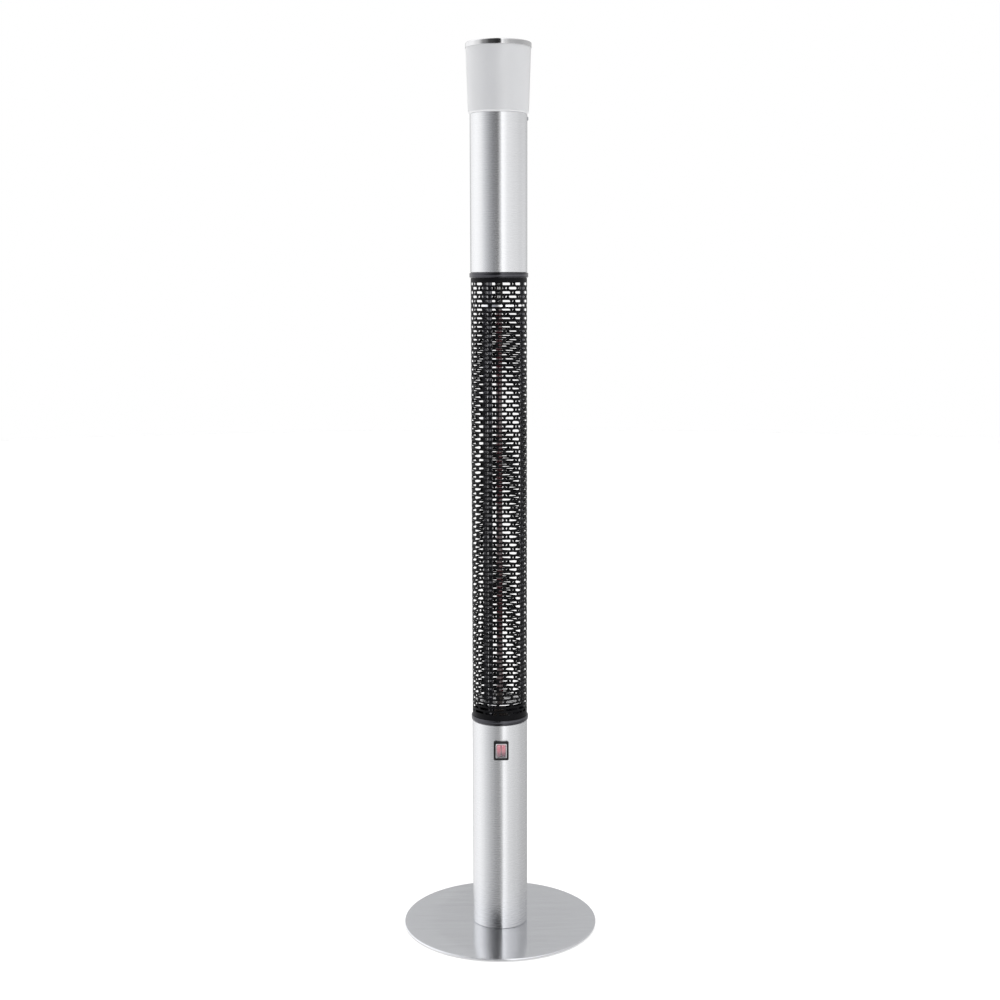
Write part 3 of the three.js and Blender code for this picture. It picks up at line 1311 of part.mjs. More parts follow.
const head = section(0, 0, UPPER_TUBE_TOP);
place(head, "upper_tube", upperTube(), brushedSteel, [0, 0, -UPPER_TUBE_LENGTH]);
place(head, "light_carrier", lightCarrier(), castAluminium);
place(head, "led_board", ledBoard(), boardLacquer, [0, 0, BOARD_BOTTOM - UPPER_TUBE_TOP]);
place(head, "shade_post", shadePost(), zincedSteel, [0, 0, POST_BOTTOM - UPPER_TUBE_TOP]);
place(head, "shade", shade(), frostedPlastic, [0, 0, SHADE_BOTTOM - UPPER_TUBE_TOP]);
place(head, "top_cap", topCap(), polishedSteel, [0, 0, CAP_BOTTOM - UPPER_TUBE_TOP]);
HEAD_SCREW_ANGLES.forEach((angle, index) => {
  const seat = around(TUBE_RADIUS + SEAT_GAP, angle, -HEAD_SCREW_DROP);
  const turn = [0, 0, radians(angle)];
  place(head, `head_screw_${index + 1}`, headScrew(), heatedSteel, seat.toArray(), turn);
});

const wiring = section(0, 0, 0);
place(wiring, "lower_lamp_lead", lowerLampLead(), glassSleeve);
place(wiring, "upper_lamp_lead", upperLampLead(), glassSleeve);
place(wiring, "light_lead", lightLead(), glassSleeve);

export default tower;
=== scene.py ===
import json
import math

import bmesh
import bpy
from mathutils import Matrix, Vector


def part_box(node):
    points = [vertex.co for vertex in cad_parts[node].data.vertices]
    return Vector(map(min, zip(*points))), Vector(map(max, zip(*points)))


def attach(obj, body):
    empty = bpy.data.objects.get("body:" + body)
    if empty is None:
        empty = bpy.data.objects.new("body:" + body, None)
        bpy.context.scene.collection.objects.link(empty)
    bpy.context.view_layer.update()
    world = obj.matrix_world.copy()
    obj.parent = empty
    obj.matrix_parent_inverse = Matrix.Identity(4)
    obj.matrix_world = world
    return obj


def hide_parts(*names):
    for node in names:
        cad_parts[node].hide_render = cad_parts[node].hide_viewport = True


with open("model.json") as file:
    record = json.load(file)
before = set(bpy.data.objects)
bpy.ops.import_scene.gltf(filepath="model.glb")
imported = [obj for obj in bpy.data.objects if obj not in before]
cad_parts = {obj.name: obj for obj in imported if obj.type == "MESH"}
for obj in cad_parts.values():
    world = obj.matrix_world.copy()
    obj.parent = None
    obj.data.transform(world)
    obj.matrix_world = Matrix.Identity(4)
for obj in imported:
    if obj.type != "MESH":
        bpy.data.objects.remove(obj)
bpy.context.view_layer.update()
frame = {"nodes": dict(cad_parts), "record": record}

TOWER = "tower"
MM = 0.001

# Heights above the floor, in millimetres, that the painted glows of the materials go by as well.
SWITCH_LEVEL = 326.3
SHADE_FOOT = 1392.7


# ---------------------------------------------------------------------------
# Finishes
# ---------------------------------------------------------------------------


class Finish:
    """A node material: one principled shader and the patterns that vary it."""

    def __init__(self, name, color, roughness, metallic=0.0, **sockets):
        self.material = bpy.data.materials.new(name)
        self.material.use_nodes = True
        self.tree = self.material.node_tree
        self.shader = self.tree.nodes["Principled BSDF"]
        self.color = color
        self.shader.inputs["Base Color"].default_value = (*color, 1)
        self.shader.inputs["Roughness"].default_value = roughness
        self.shader.inputs["Metallic"].default_value = metallic
        for socket, value in sockets.items():
            self.shader.inputs[socket.replace("_", " ")].default_value = value
        self.place = self.node("ShaderNodeTexCoord").outputs["Object"]

    def node(self, kind, **settings):
        made = self.tree.nodes.new(kind)
        for key, value in settings.items():
            setattr(made, key, value)
        return made

    def link(self, source, target):
        self.tree.links.new(source, target)

    def stretched(self, scale):
        mapping = self.node("ShaderNodeMapping")
        mapping.inputs["Scale"].default_value = scale
        self.link(self.place, mapping.inputs["Vector"])
        return mapping.outputs["Vector"]

    def noise(self, scale, stretch=(1, 1, 1), detail=3.0):
        """Noise with `scale` features a metre, more along a stretched axis."""
        pattern = self.node("ShaderNodeTexNoise")
        pattern.inputs["Scale"].default_value = scale
        pattern.inputs["Detail"].default_value = detail
        pattern.inputs["Roughness"].default_value = 0.55
        self.link(self.stretched(stretch), pattern.inputs["Vector"])
        return pattern.outputs["Fac"]

    def spread(self, pattern, low, high):
        """The middle of a noise pattern, spread from low to high."""
        spread = self.node("ShaderNodeMapRange")
        spread.inputs["From Min"].default_value = 0.3
        spread.inputs["From Max"].default_value = 0.7
        spread.inputs["To Min"].default_value = low
        spread.inputs["To Max"].default_value = high
        self.link(pattern, spread.inputs["Value"])
        return spread.outputs["Result"]

    def shade(self, pattern, low, high):
        """Varies the colour's brightness between two factors."""
        tint = self.node("ShaderNodeHueSaturation")
        tint.inputs["Color"].default_value = (*self.color, 1)
        self.link(self.spread(pattern, low, high), tint.inputs["Value"])
        self.link(tint.outputs["Color"], self.shader.inputs["Base Color"])
        return self

    def roughen(self, pattern, low, high):
        self.link(self.spread(pattern, low, high), self.shader.inputs["Roughness"])
        return self

    def bump(self, pattern, height_mm, strength=0.5):
        bump = self.node("ShaderNodeBump")
        bump.inputs["Strength"].default_value = strength
        bump.inputs["Distance"].default_value = height_mm * MM
        self.link(pattern, bump.inputs["Height"])
        self.link(bump.outputs["Normal"], self.shader.inputs["Normal"])
        return self

    def glow(self, start_mm, end_mm, start, end):
        """Emission that goes from one strength to another between two heights."""
        parts = self.node("ShaderNodeSeparateXYZ")
        self.link(self.place, parts.inputs["Vector"])
        glow = self.node("ShaderNodeMapRange", interpolation_type="SMOOTHSTEP")
        glow.inputs["From Min"].default_value = start_mm * MM
        glow.inputs["From Max"].default_value = end_mm * MM
        glow.inputs["To Min"].default_value = start
        glow.inputs["To Max"].default_value = end
        self.link(parts.outputs["Z"], glow.inputs["Value"])
        self.link(glow.outputs["Result"], self.shader.inputs["Emission Strength"])
        return self

    def brushed(self):
        """Lets the highlight run across the brush lines, along the mesh's U."""
        tangent = self.node("ShaderNodeTangent", direction_type="UV_MAP", uv_map="brush")
        self.link(tangent.outputs["Tangent"], self.shader.inputs["Tangent"])
        return self


def brushed_tube_steel():
    finish = Finish("tube_steel", (0.66, 0.665, 0.68), 0.27, 1.0, Anisotropic=0.95)
    finish.shade(finish.noise(12, (0.3, 0.3, 12), 2), 0.992, 1.006)
    finish.roughen(finish.noise(30, (0.5, 0.5, 60), 4), 0.262, 0.278)
    finish.bump(finish.noise(90, (0.5, 0.5, 60), 3), 0.01, 0.03)
    return finish.brushed().material


def brushed_plate_steel():
    finish = Finish("plate_steel", (0.78, 0.79, 0.82), 0.22, 1.0, Anisotropic=1.0)
    finish.shade(finish.noise(25, (0.3, 12, 1), 4), 0.95, 1.03)
    finish.roughen(finish.noise(18, (0.5, 40, 1), 4), 0.19, 0.25)
    finish.bump(finish.noise(30, (0.5, 70, 1), 3), 0.01, 0.1)
    return finish.brushed().material


def polished_steel():
    finish = Finish("polished_steel", (0.72, 0.72, 0.73), 0.07, 1.0)
    finish.shade(finish.noise(35), 0.97, 1.02)
    return finish.roughen(finish.noise(60, detail=5), 0.04, 0.10).material


def zinced_steel():
    finish = Finish("zinced_steel", (0.46, 0.47, 0.49), 0.38, 0.95)
    finish.shade(finish.noise(220, detail=5), 0.82, 1.08)
    return finish.roughen(finish.noise(400), 0.28, 0.48).material


def collar_paint():
    finish = Finish("collar_paint", (0.064, 0.064, 0.072), 0.17, 0.92)
    finish.shade(finish.noise(300), 0.92, 1.06)
    finish.roughen(finish.noise(150), 0.14, 0.2)
    return finish.bump(finish.noise(1800, detail=2), 0.03, 0.3).material


def guard_enamel():
    finish = Finish("guard_enamel", (0.004, 0.004, 0.005), 0.42, Specular_IOR_Level=0.08)
    finish.shade(finish.noise(90), 0.8, 1.25)
    finish.roughen(finish.noise(220), 0.36, 0.5)
    return finish.bump(finish.noise(2400, detail=2), 0.02, 0.3).material


def rod_paint():
    finish = Finish("rod_paint", (0.032, 0.032, 0.042), 0.12, 0.6, Coat_Weight=1.0)
    finish.shade(finish.noise(120), 0.85, 1.15)
    return finish.roughen(finish.noise(500), 0.09, 0.16).material


def reflector_steel():
    finish = Finish("reflector_steel", (0.90, 0.90, 0.91), 0.15, 1.0)
    finish.shade(finish.noise(80), 0.93, 1.03)
    return finish.roughen(finish.noise(300), 0.12, 0.22).material


def heated_steel():
    finish = Finish("heated_steel", (0.07, 0.064, 0.06), 0.45, 0.85)
    finish.shade(finish.noise(140, detail=5), 0.7, 1.5)
    return finish.roughen(finish.noise(260), 0.36, 0.58).material


def ruby_quartz():
    finish = Finish(
        "ruby_quartz",
        (0.065, 0.012, 0.018),
        0.07,
        Transmission_Weight=0.1,
        Coat_Weight=1.0,
    )
    finish.shade(finish.noise(40, (1, 1, 0.2)), 0.85, 1.1)
    return finish.roughen(finish.noise(200), 0.04, 0.09).material


def heating_wire():
    finish = Finish(
        "heating_wire",
        (0.5, 0.05, 0.02),
        0.5,
        Emission_Color=(1, 0.12, 0.03, 1),
        Emission_Strength=1.5,
    )
    return finish.shade(finish.noise(900), 0.8, 1.2).material


def ceramic():
    finish = Finish("ceramic", (0.075, 0.06, 0.055), 0.62)
    finish.shade(finish.noise(700, detail=5), 0.93, 1.03)
    return finish.bump(finish.noise(1500), 0.05, 0.3).material


def frosted_plastic():
    """Milky plastic with a painted glow: faint all over, and strongest at its foot, where it
    lifts the shade under the rounded corner.
    """
    finish = Finish(
        "frosted_plastic",
        (0.535, 0.539, 0.553),
        0.3,
        Subsurface_Weight=0.5,
        Subsurface_Radius=(1, 1, 1),
        Subsurface_Scale=0.004,
        Coat_Weight=1.0,
        Coat_Roughness=0.3,
        Emission_Color=(1, 1, 1, 1),
    )
    # Painted glow: emission 0.4 at the shade's foot, fading to 0.05 four millimetres up and
    # above.
    finish.glow(SHADE_FOOT, SHADE_FOOT + 4, 0.4, 0.05)
    finish.shade(finish.noise(14, detail=1), 0.99, 1.01)
    finish.roughen(finish.noise(500), 0.3, 0.38)
    return finish.bump(finish.noise(2600, detail=1), 0.012, 0.2).material


def moulded(name, color, roughness, **sockets):
    """Satin moulded plastic with a fine spark-eroded grain."""
    finish = Finish(name, color, roughness, **sockets)
    finish.shade(finish.noise(200), 0.94, 1.05)
    finish.roughen(finish.noise(600), roughness - 0.05, roughness + 0.06)
    return finish.bump(finish.noise(1500, detail=2), 0.03, 0.3).material


def rocker_red():
    """Red plastic with a painted glow on its upper half, standing in for a highlight there."""
    finish = Finish(
        "rocker_red",
        (0.17, 0.03, 0.07),
        0.2,
        Subsurface_Weight=0.2,
        Subsurface_Scale=0.002,
        Coat_Weight=0.5,
        Emission_Color=(1.0, 0.20, 0.25, 1),
    )
    # Painted highlight: emission rises from 0.03 low on the rocker to 0.5 on its upper half.
    finish.glow(SWITCH_LEVEL - 9, SWITCH_LEVEL + 4, 0.03, 0.5)
    finish.shade(finish.noise(260), 0.93, 1.05)
    return finish.roughen(finish.noise(900), 0.16, 0.26).material


def clear_cover():
    finish = Finish(
        "clear_cover",
        (0.95, 0.94, 0.96),
        0.1,
        Transmission_Weight=0.93,
        IOR=1.42,
    )
    return finish.roughen(finish.noise(500), 0.06, 0.16).material


def rubber():
    finish = Finish("rubber", (0.022, 0.022, 0.024), 0.8)
    finish.shade(finish.noise(400), 0.8, 1.2)
    return finish.bump(finish.noise(1800), 0.05, 0.4).material


def brass():
    finish = Finish("brass", (0.70, 0.48, 0.18), 0.3, 1.0)
    finish.shade(finish.noise(300), 0.85, 1.05)
    return finish.roughen(finish.noise(500), 0.22, 0.4).material


def cast_aluminium():
    finish = Finish("cast_aluminium", (0.52, 0.53, 0.55), 0.48, 0.95)
    finish.shade(finish.noise(260, detail=6), 0.86, 1.06)
    return finish.bump(finish.noise(900, detail=5), 0.08, 0.4).material


def board_lacquer():
    finish = Finish("board_lacquer", (0.82, 0.82, 0.80), 0.3, Coat_Weight=0.3)
    return finish.shade(finish.noise(120), 0.96, 1.02).material


def woven_sleeve():
    finish = Finish("woven_sleeve", (0.13, 0.13, 0.13), 0.4)
    finish.shade(finish.noise(1200, (1, 1, 0.4)), 0.8, 1.08)
    return finish.bump(finish.noise(2200, (1, 1, 0.5)), 0.1, 0.5).material


FINISHES = {
    "rubber": rubber(),
    "brushed_steel": brushed_tube_steel(),
    "plate_steel": brushed_plate_steel(),
    "polished_steel": polished_steel(),
    "zinced_steel": zinced_steel(),
    "grey_paint": collar_paint(),
    "black_enamel": guard_enamel(),
    "slate_paint": rod_paint(),
    "mirror_steel": reflector_steel(),
    "heated_steel": heated_steel(),
    "ruby_quartz": ruby_quartz(),
    "glowing_wire": heating_wire(),
    "ceramic": ceramic(),
    "frosted_plastic": frosted_plastic(),
    "black_plastic": moulded(
        "black_plastic", (0.008, 0.008, 0.009), 0.36, Specular_IOR_Level=0.3
    ),
    "red_plastic": rocker_red(),
    "clear_plastic": clear_cover(),
    "white_plastic": moulded("white_plastic", (0.74, 0.74, 0.71), 0.5),
    "cover_rim": moulded("cover_rim", (0.74, 0.74, 0.77), 0.3),
    "grey_plastic": moulded("grey_plastic", (0.16, 0.17, 0.18), 0.5),
    "brass": brass(),
    "cast_aluminium": cast_aluminium(),
    "board_lacquer": board_lacquer(),
    "glass_sleeve": woven_sleeve(),
}


# ---------------------------------------------------------------------------
# Mesh helpers: profiles and places are in millimetres, meshes in metres
# ---------------------------------------------------------------------------


def new_object(name, vertices, faces):
    mesh = bpy.data.meshes.new(name)
    mesh.from_pydata([Vector(v) * MM for v in vertices], [], faces)
    mesh.update()
    made = bpy.data.objects.new(name, mesh)
    bpy.context.scene.collection.objects.link(made)
    return made


def arc(centre, radius, start, end, steps=6):
    """Profile points along an arc, from one angle in degrees to another."""
    points = []
    for step in range(steps + 1):
        turn = math.radians(start + (end - start) * step / steps)
        x = centre[0] + radius * math.cos(turn)
        points.append((x, centre[1] + radius * math.sin(turn)))
    return points


def turned(name, profile, sides=128, place=(0, 0, 0)):
    """A solid of revolution from (radius, height) points.

    The profile is closed on itself, or on the axis where it starts there.
    """
    vertices = []
    rings = []
    for radius, height in profile:
        count = sides if radius > 0 else 1
        rings.append([len(vertices) + k for k in range(count)])
        for k in range(count):
            turn = 2 * math.pi * k / sides
            spot = (radius * math.cos(turn), radius * math.sin(turn), height)
            vertices.append(Vector(spot) + Vector(place))
    closed = profile[0][0] > 0
    faces = []
    for here in range(len(rings) if closed else len(rings) - 1):
        low, high = rings[here], rings[(here + 1) % len(rings)]
        for k in range(sides):
            corners = [low[k % len(low)], low[(k + 1) % len(low)]]
            corners += [high[(k + 1) % len(high)], high[k % len(high)]]
            faces.append(list(dict.fromkeys(corners)))
    made = new_object(name, vertices, faces)
    face_outwards(made)
    return made


def face_outwards(piece):
    shape = bmesh.new()
    shape.from_mesh(piece.data)
    bmesh.ops.recalc_face_normals(shape, faces=shape.faces)
    shape.to_mesh(piece.data)
    shape.free()


def extruded(name, outline, low, high, axis="y"):
    """A prism of an outline between two levels along an axis.

    The outline's points are (x, z) on axis y, (y, z) on axis x and (x, y) on axis z.
    """

    def spot(point, level):
        a, b = point
        return {"y": (a, level, b), "x": (level, a, b), "z": (a, b, level)}[axis]

    count = len(outline)
    vertices = [spot(p, low) for p in outline] + [spot(p, high) for p in outline]
    faces = [list(range(count)), list(range(2 * count - 1, count - 1, -1))]
    faces += [[k, (k + 1) % count, count + (k + 1) % count, count + k] for k in range(count)]
    made = new_object(name, vertices, faces)
    face_outwards(made)
    return made


def rounded_rectangle(width, height, corner, centre=(0, 0), steps=6):
    x, y = width / 2 - corner, height / 2 - corner
    points = []
    for sx, sy, start in ((1, 1, 0), (-1, 1, 90), (-1, -1, 180), (1, -1, 270)):
        spot = (centre[0] + sx * x, centre[1] + sy * y)
        points += arc(spot, corner, start, start + 90, steps)
    return points


def applied(piece):
    """Bakes the modifiers of a piece into its mesh."""
    graph = bpy.context.evaluated_depsgraph_get()
    baked = bpy.data.meshes.new_from_object(piece.evaluated_get(graph))
    piece.modifiers.clear()
    piece.data = baked
    return piece


def combined(piece, operation, tools):
    for tool in tools:
        modifier = piece.modifiers.new(operation, "BOOLEAN")
        modifier.operation = operation
        modifier.solver = "EXACT"
        modifier.object = tool
    applied(piece)
    for tool in tools:
        bpy.data.objects.remove(tool)
    return piece


def cut(piece, *tools):
    return combined(piece, "DIFFERENCE", tools)


def joined(piece, *tools):
    return combined(piece, "UNION", tools)


def bevelled(piece, width_mm, segments, angle):
    modifier = piece.modifiers.new("bevel", "BEVEL")
    modifier.width = width_mm * MM
    modifier.segments = segments
    modifier.limit_method = "ANGLE"
    modifier.angle_limit = math.radians(angle)
    return applied(piece)


def smoothed(piece, angle=32):
    mesh = piece.data
    mesh.polygons.foreach_set("use_smooth", [True] * len(mesh.polygons))
    mesh.set_sharp_from_angle(angle=math.radians(angle))
    return piece


def brush_along(piece, flow):
    """Adds a UV layer whose U runs across the brush lines: `flow` gives a point's (u, v)."""
    mesh = piece.data
    layer = mesh.uv_layers.new(name="brush")
    for face in mesh.polygons:
        for loop in face.loop_indices:
            point = mesh.vertices[mesh.loops[loop].vertex_index].co
            layer.data[loop].uv = flow(point, face.center)


def round_the_axis(point, centre):
    """Brush lines round the tube: U is the height, V the turn from the face's middle."""
    middle = math.atan2(centre.y, centre.x)
    turn = math.atan2(point.y, point.x) - middle
    turn = math.atan2(math.sin(turn), math.cos(turn))
    return point.z, middle + turn


def along_x(point, _centre):
    """Brush lines along X: U is Y, V is X."""
    return point.y, point.x


def dressed(piece, slot, *nodes, body=TOWER, finish=None):
    """Gives a piece its finish, its body and the CAD nodes that it stands for."""
    piece.data.materials.clear()
    piece.data.materials.append(FINISHES[finish or slot])
    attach(piece, body)
    if nodes:
        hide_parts(*nodes)
    return piece


def levels(node):
    low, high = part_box(node)
    return low.z / MM, high.z / MM


# ---------------------------------------------------------------------------
# Sizes shared with the frame, in millimetres
# ---------------------------------------------------------------------------

PLATE = 168.0
BASE_SCREW_CIRCLE = 32
BASE_SCREW_ANGLES = (90, 210, 330)
TUBE = 47.5
TUBE_BORE = 46.3
SEAT = 47.8  # where the bezel, the gland and the head screws sit on a tube
GUARD = 47.0
GUARD_BORE = 46.0
LOWER_COLLAR_SEAT = 369.9
UPPER_COLLAR_SEAT = 1135.1
ROD_CIRCLE = 39.31
ROD_ANGLES = (5, 125, 245)
GLAND_LEVEL = 50.6
GLAND_INLET = 8.3
HEAD_SCREW_LEVEL = 1385.4
HEAD_SCREW_ANGLES = (0, 90)
HEAD_SCREW_HOLE = 2.3
SWITCH_CENTRE = (0, SWITCH_LEVEL)
BEZEL_FRONT = -50.8
PIVOT_FRONT = -45.4
ROCKER_OFFSET = 4.15


def around(radius, degrees, height=0.0):
    turn = math.radians(degrees)
    return Vector((radius * math.cos(turn), radius * math.sin(turn), height))


# ---------------------------------------------------------------------------
# Base
# ---------------------------------------------------------------------------


def base():
    low, high = levels("base_plate")
    edge = 0.9
    profile = [(0, low)]
    profile += arc((PLATE - edge, low + edge), edge, -90, 0, 4)
    profile += arc((PLATE - edge, high - edge), edge, 0, 90, 4)
    profile += [(120, high), (60, high), (0, high)]
    plate = turned("base_plate_fine", profile, 256)
    head, shank = 4.9, 2.8
    sink = [(0, low - 1), (head, low - 1), (head, low), (shank, low + 2.1)]
    sink += [(shank, high + 1), (0, high + 1)]
    sinks = []
    for index, angle in enumerate(BASE_SCREW_ANGLES):
        sinks.append(turned(f"sink_{index}", sink, 32, around(BASE_SCREW_CIRCLE, angle)))
    cut(plate, *sinks)
    smoothed(plate)
    brush_along(plate, along_x)
    dressed(plate, "brushed_steel", "base_plate", finish="plate_steel")


def floor_pads():
    radius, edge = 10.0, 1.0
    for index in range(1, 6):
        node = f"floor_pad_{index}"
        low, high = levels(node)
        middle = (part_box(node)[0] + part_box(node)[1]) / 2 / MM
        profile = [(0, low), (8.9, low)]
        profile += arc((radius - edge, low + edge), edge, -80, 0, 5)
        profile += [(radius, high), (0, high)]
        pad = turned(f"floor_pad_fine_{index}", profile, 48, (middle.x, middle.y, 0))
        dressed(smoothed(pad), "rubber", node)


# ---------------------------------------------------------------------------
# Steel tubes
# ---------------------------------------------------------------------------


def tube_blank(name, low, high):
    lip = 0.5
    steps = 8
    profile = [(TUBE_BORE, low + lip), (TUBE_BORE + lip, low)]
    profile += [(TUBE - lip, low), (TUBE, low + lip)]
    profile += [(TUBE, low + (high - low) * k / steps) for k in range(1, steps)]
    profile += [(TUBE, high - lip), (TUBE - lip, high)]
    profile += [(TUBE_BORE + lip, high), (TUBE_BORE, high - lip)]
    return turned(name, profile, 160)


def steel_tubes():
    lower = tube_blank("lower_tube_fine", *levels("lower_tube"))
    window = extruded("window", rounded_rectangle(22.2, 29, 0.6, SWITCH_CENTRE), -60, -30)
    inlet = turned("inlet", [(0, 30), (GLAND_INLET, 30), (GLAND_INLET, 60), (0, 60)], 48)
    inlet.data.transform(Matrix.Rotation(math.radians(-90), 4, "X"))
    inlet.data.transform(Matrix.Translation((0, 0, GLAND_LEVEL * MM)))
    smoothed(cut(lower, window, inlet))
    brush_along(lower, round_the_axis)
    dressed(lower, "brushed_steel", "lower_tube")
    upper = tube_blank("upper_tube_fine", *levels("upper_tube"))
    bore = [(0, 40), (HEAD_SCREW_HOLE, 40), (HEAD_SCREW_HOLE, 60), (0, 60)]
    holes = []
    for angle in HEAD_SCREW_ANGLES:
        hole = turned(f"hole_{angle}", bore, 32)
        hole.data.transform(Matrix.Rotation(math.radians(90), 4, "Y"))
        hole.data.transform(Matrix.Rotation(math.radians(angle), 4, "Z"))
        hole.data.transform(Matrix.Translation((0, 0, HEAD_SCREW_LEVEL * MM)))
        holes.append(hole)
    smoothed(cut(upper, *holes))
    brush_along(upper, round_the_axis)
    dressed(upper, "brushed_steel", "upper_tube")


# ---------------------------------------------------------------------------
# Collars, guard and rods
# ---------------------------------------------------------------------------


def collar(name, node, seat, up):
    """A cast ring that sits on a tube, with its skirt inside it and a spigot in the guard.

    `up` is 1 on the lower tube, and -1 on the upper one, where it hangs upside down.
    """

    def lifted(points):
        return [(radius, seat + up * height) for radius, height in points]

    outline = [(9, 2), (45, 2), (45, -12), (45.9, -12), (46, -11.8), (46, 0), (46.4, 0)]
    outline += arc((46.9, 2.3), 2.3, -88, -20, 6)
    outline += arc((46.9, 6.2), 2.3, 20, 88, 6)
    outline += [(45.6, 8.5), (45.5, 16.3), (45.3, 16.5), (44.4, 16.5), (44.3, 4.5), (9, 4.5)]
    ring = turned(name, lifted(outline), 128)
    rod_hole = lifted([(0, 0), (3.3, 0), (3.3, 8), (0, 8)])
    holes = []
    for angle in ROD_ANGLES:
        holes.append(turned(f"{name}_{angle}", rod_hole, 24, around(ROD_CIRCLE, angle)))
    dressed(smoothed(cut(ring, *holes), 40), "grey_paint", node)


def perforated_guard():
    """The guard's sheet with rows of round-ended slots, each row half a cell off the next.

    A slot is `half` long to either side of its middle, and then its end of radius `end`.
    Each quarter of its cell is four patches of sheet.
    """
    low, high = levels("guard")
    rows = 103
    columns = 12
    turn = 8.4  # degrees from the front to the middle of the first slot
    first, pitch = 1116.5, 7.126
    last = first - (rows - 1) * pitch
    cell = 2 * math.pi * GUARD / columns
    half, end = 8.3, 2.2
    corner = end * math.sqrt(0.5)
    quarter = cell / 4
    slot = [(0, end), (quarter, end), (half, end), (half + corner, corner), (half + end, 0)]
    rim = pitch / 2
    patches = (
        ((0, rim), (quarter, rim), (quarter, end), (0, end)),
        ((quarter, rim), (2 * quarter, rim), (half, end), (quarter, end)),
        ((2 * quarter, rim), (half + corner, corner), (half, end)),
        ((2 * quarter, rim), (2 * quarter, 0), (half + end, 0), (half + corner, corner)),
    )
    quarters = ((1, 1), (-1, 1), (-1, -1), (1, -1))
    vertices, faces, seen = [], [], {}

    def corner_index(along, height, radius):
        angle = round(math.degrees(along / GUARD) % 360, 4) % 360
        key = (angle, round(height, 3), radius)
        if key not in seen:
            seen[key] = len(vertices)
            vertices.append(around(radius, angle + turn - 90, height))
        return seen[key]

    def sheet(points):
        for radius, order in ((GUARD, 1), (GUARD_BORE, -1)):
            faces.append([corner_index(x, z, radius) for x, z in points][::order])

    def wall(start, stop):
        outside = [corner_index(*start, GUARD), corner_index(*stop, GUARD)]
        inside = [corner_index(*stop, GUARD_BORE), corner_index(*start, GUARD_BORE)]
        faces.append(outside + inside)

    for row in range(rows):
        level = first - row * pitch
        shift = (row % 2) * cell / 2
        for column in range(columns):
            middle = column * cell + shift
            for sx, sz in quarters:
                for patch in patches:
                    sheet([(middle + sx * x, level + sz * z) for x, z in patch])
                bank = [(middle + sx * x, level + sz * z) for x, z in slot]
                for start, stop in zip(bank, bank[1:]):
                    wall(start, stop)
    top, bottom = first + rim, last - rim
    for step in range(4 * columns):
        x1, x2 = step * quarter, (step + 1) * quarter
        for edge, end_level in ((top, high), (bottom, low)):
            sheet([(x1, edge), (x2, edge), (x2, end_level), (x1, end_level)])
            wall((x1, end_level), (x2, end_level))
    made = new_object("guard_fine", vertices, faces)
    face_outwards(made)
    dressed(smoothed(made, 40), "black_enamel", "guard")


def tie_rods():
    """Hollow rods, thicker between the collars, so that they hold the collars apart."""
    bore, end, rod = 2.2, 3.0, 4.0
    foot, top = 374.7, 1130.3
    side, rise = 0.2, 0.3  # of the chamfers
    for index, angle in enumerate(ROD_ANGLES, start=1):
        node = f"tie_rod_{index}"
        low, high = levels(node)
        profile = [(bore, low), (end - side, low), (end, low + rise), (end, foot)]
        profile += [(rod - side, foot), (rod, foot + rise), (rod, top - rise), (rod - side, top)]
        profile += [(end, top), (end, high - rise), (end - side, high), (bore, high)]
        made = turned(f"tie_rod_fine_{index}", profile, 36, around(ROD_CIRCLE, angle))
        dressed(smoothed(made), "slate_paint", node)


# ---------------------------------------------------------------------------
# Lamp
# ---------------------------------------------------------------------------


def reflector(name, node, slot, hole, rim):
    """A disc with a notch for each rod; `rim` is how far its edge is turned down."""
    low, high = levels(node)
    edge, radius, notch_radius = 0.4, 43.0, 4.3
    profile = [(hole, low), (42.2, low), (42.2, low - rim), (radius, low - rim)]
    profile += arc((42.6, high - edge), edge, 0, 90, 4) + [(hole, high)]
    disc = turned(name, profile, 96)
    notch = [(0, low - rim - 1), (notch_radius, low - rim - 1)]
    notch += [(notch_radius, high + 1), (0, high + 1)]
    notches = []
    for angle in ROD_ANGLES:
        notches.append(turned(f"notch_{angle}", notch, 32, around(ROD_CIRCLE, angle)))
    dressed(smoothed(cut(disc, *notches)), slot, node, finish="mirror_steel")


def lamp():
    reflector("lower_reflector_fine", "lower_reflector", "mirror_steel", 7.5, 0.2)
    reflector("upper_reflector_fine", "upper_reflector", "heated_steel", 1.8, 4)
    low, high = levels("lamp_tube")
    bore, radius = 4.3, 5.3
    glass = [(bore, low), (radius, low), (radius, high), (bore, high)]
    dressed(smoothed(turned("lamp_tube_fine", glass, 48)), "ruby_quartz", "lamp_tube")


def heating_coil():
    low, high = levels("lamp_filament")
    pitch, radius, wire = 3, 1.4, 0.35
    turns = int((high - low) / pitch)
    steps = 12
    sides = 5
    vertices, faces = [], []
    for step in range(turns * steps + 1):
        angle = 360 * step / steps
        height = low + wire + (high - low - 2 * wire) * step / (turns * steps)
        centre = around(radius, angle, height)
        for side in range(sides):
            turn = 2 * math.pi * side / sides
            out = around(1, angle) * math.cos(turn) * wire
            vertices.append(centre + out + Vector((0, 0, math.sin(turn) * wire)))
    for step in range(turns * steps):
        for side in range(sides):
            here, there = step * sides, (step + 1) * sides
            after = (side + 1) % sides
            faces.append([here + side, here + after, there + after, there + side])
    faces.append(list(range(sides)))
    faces.append(list(range(len(vertices) - sides, len(vertices))))
    coil = new_object("heating_coil", vertices, faces)
    face_outwards(coil)
    dressed(smoothed(coil, 80), "glowing_wire", "lamp_filament")


# ---------------------------------------------------------------------------
# Light head
# ---------------------------------------------------------------------------


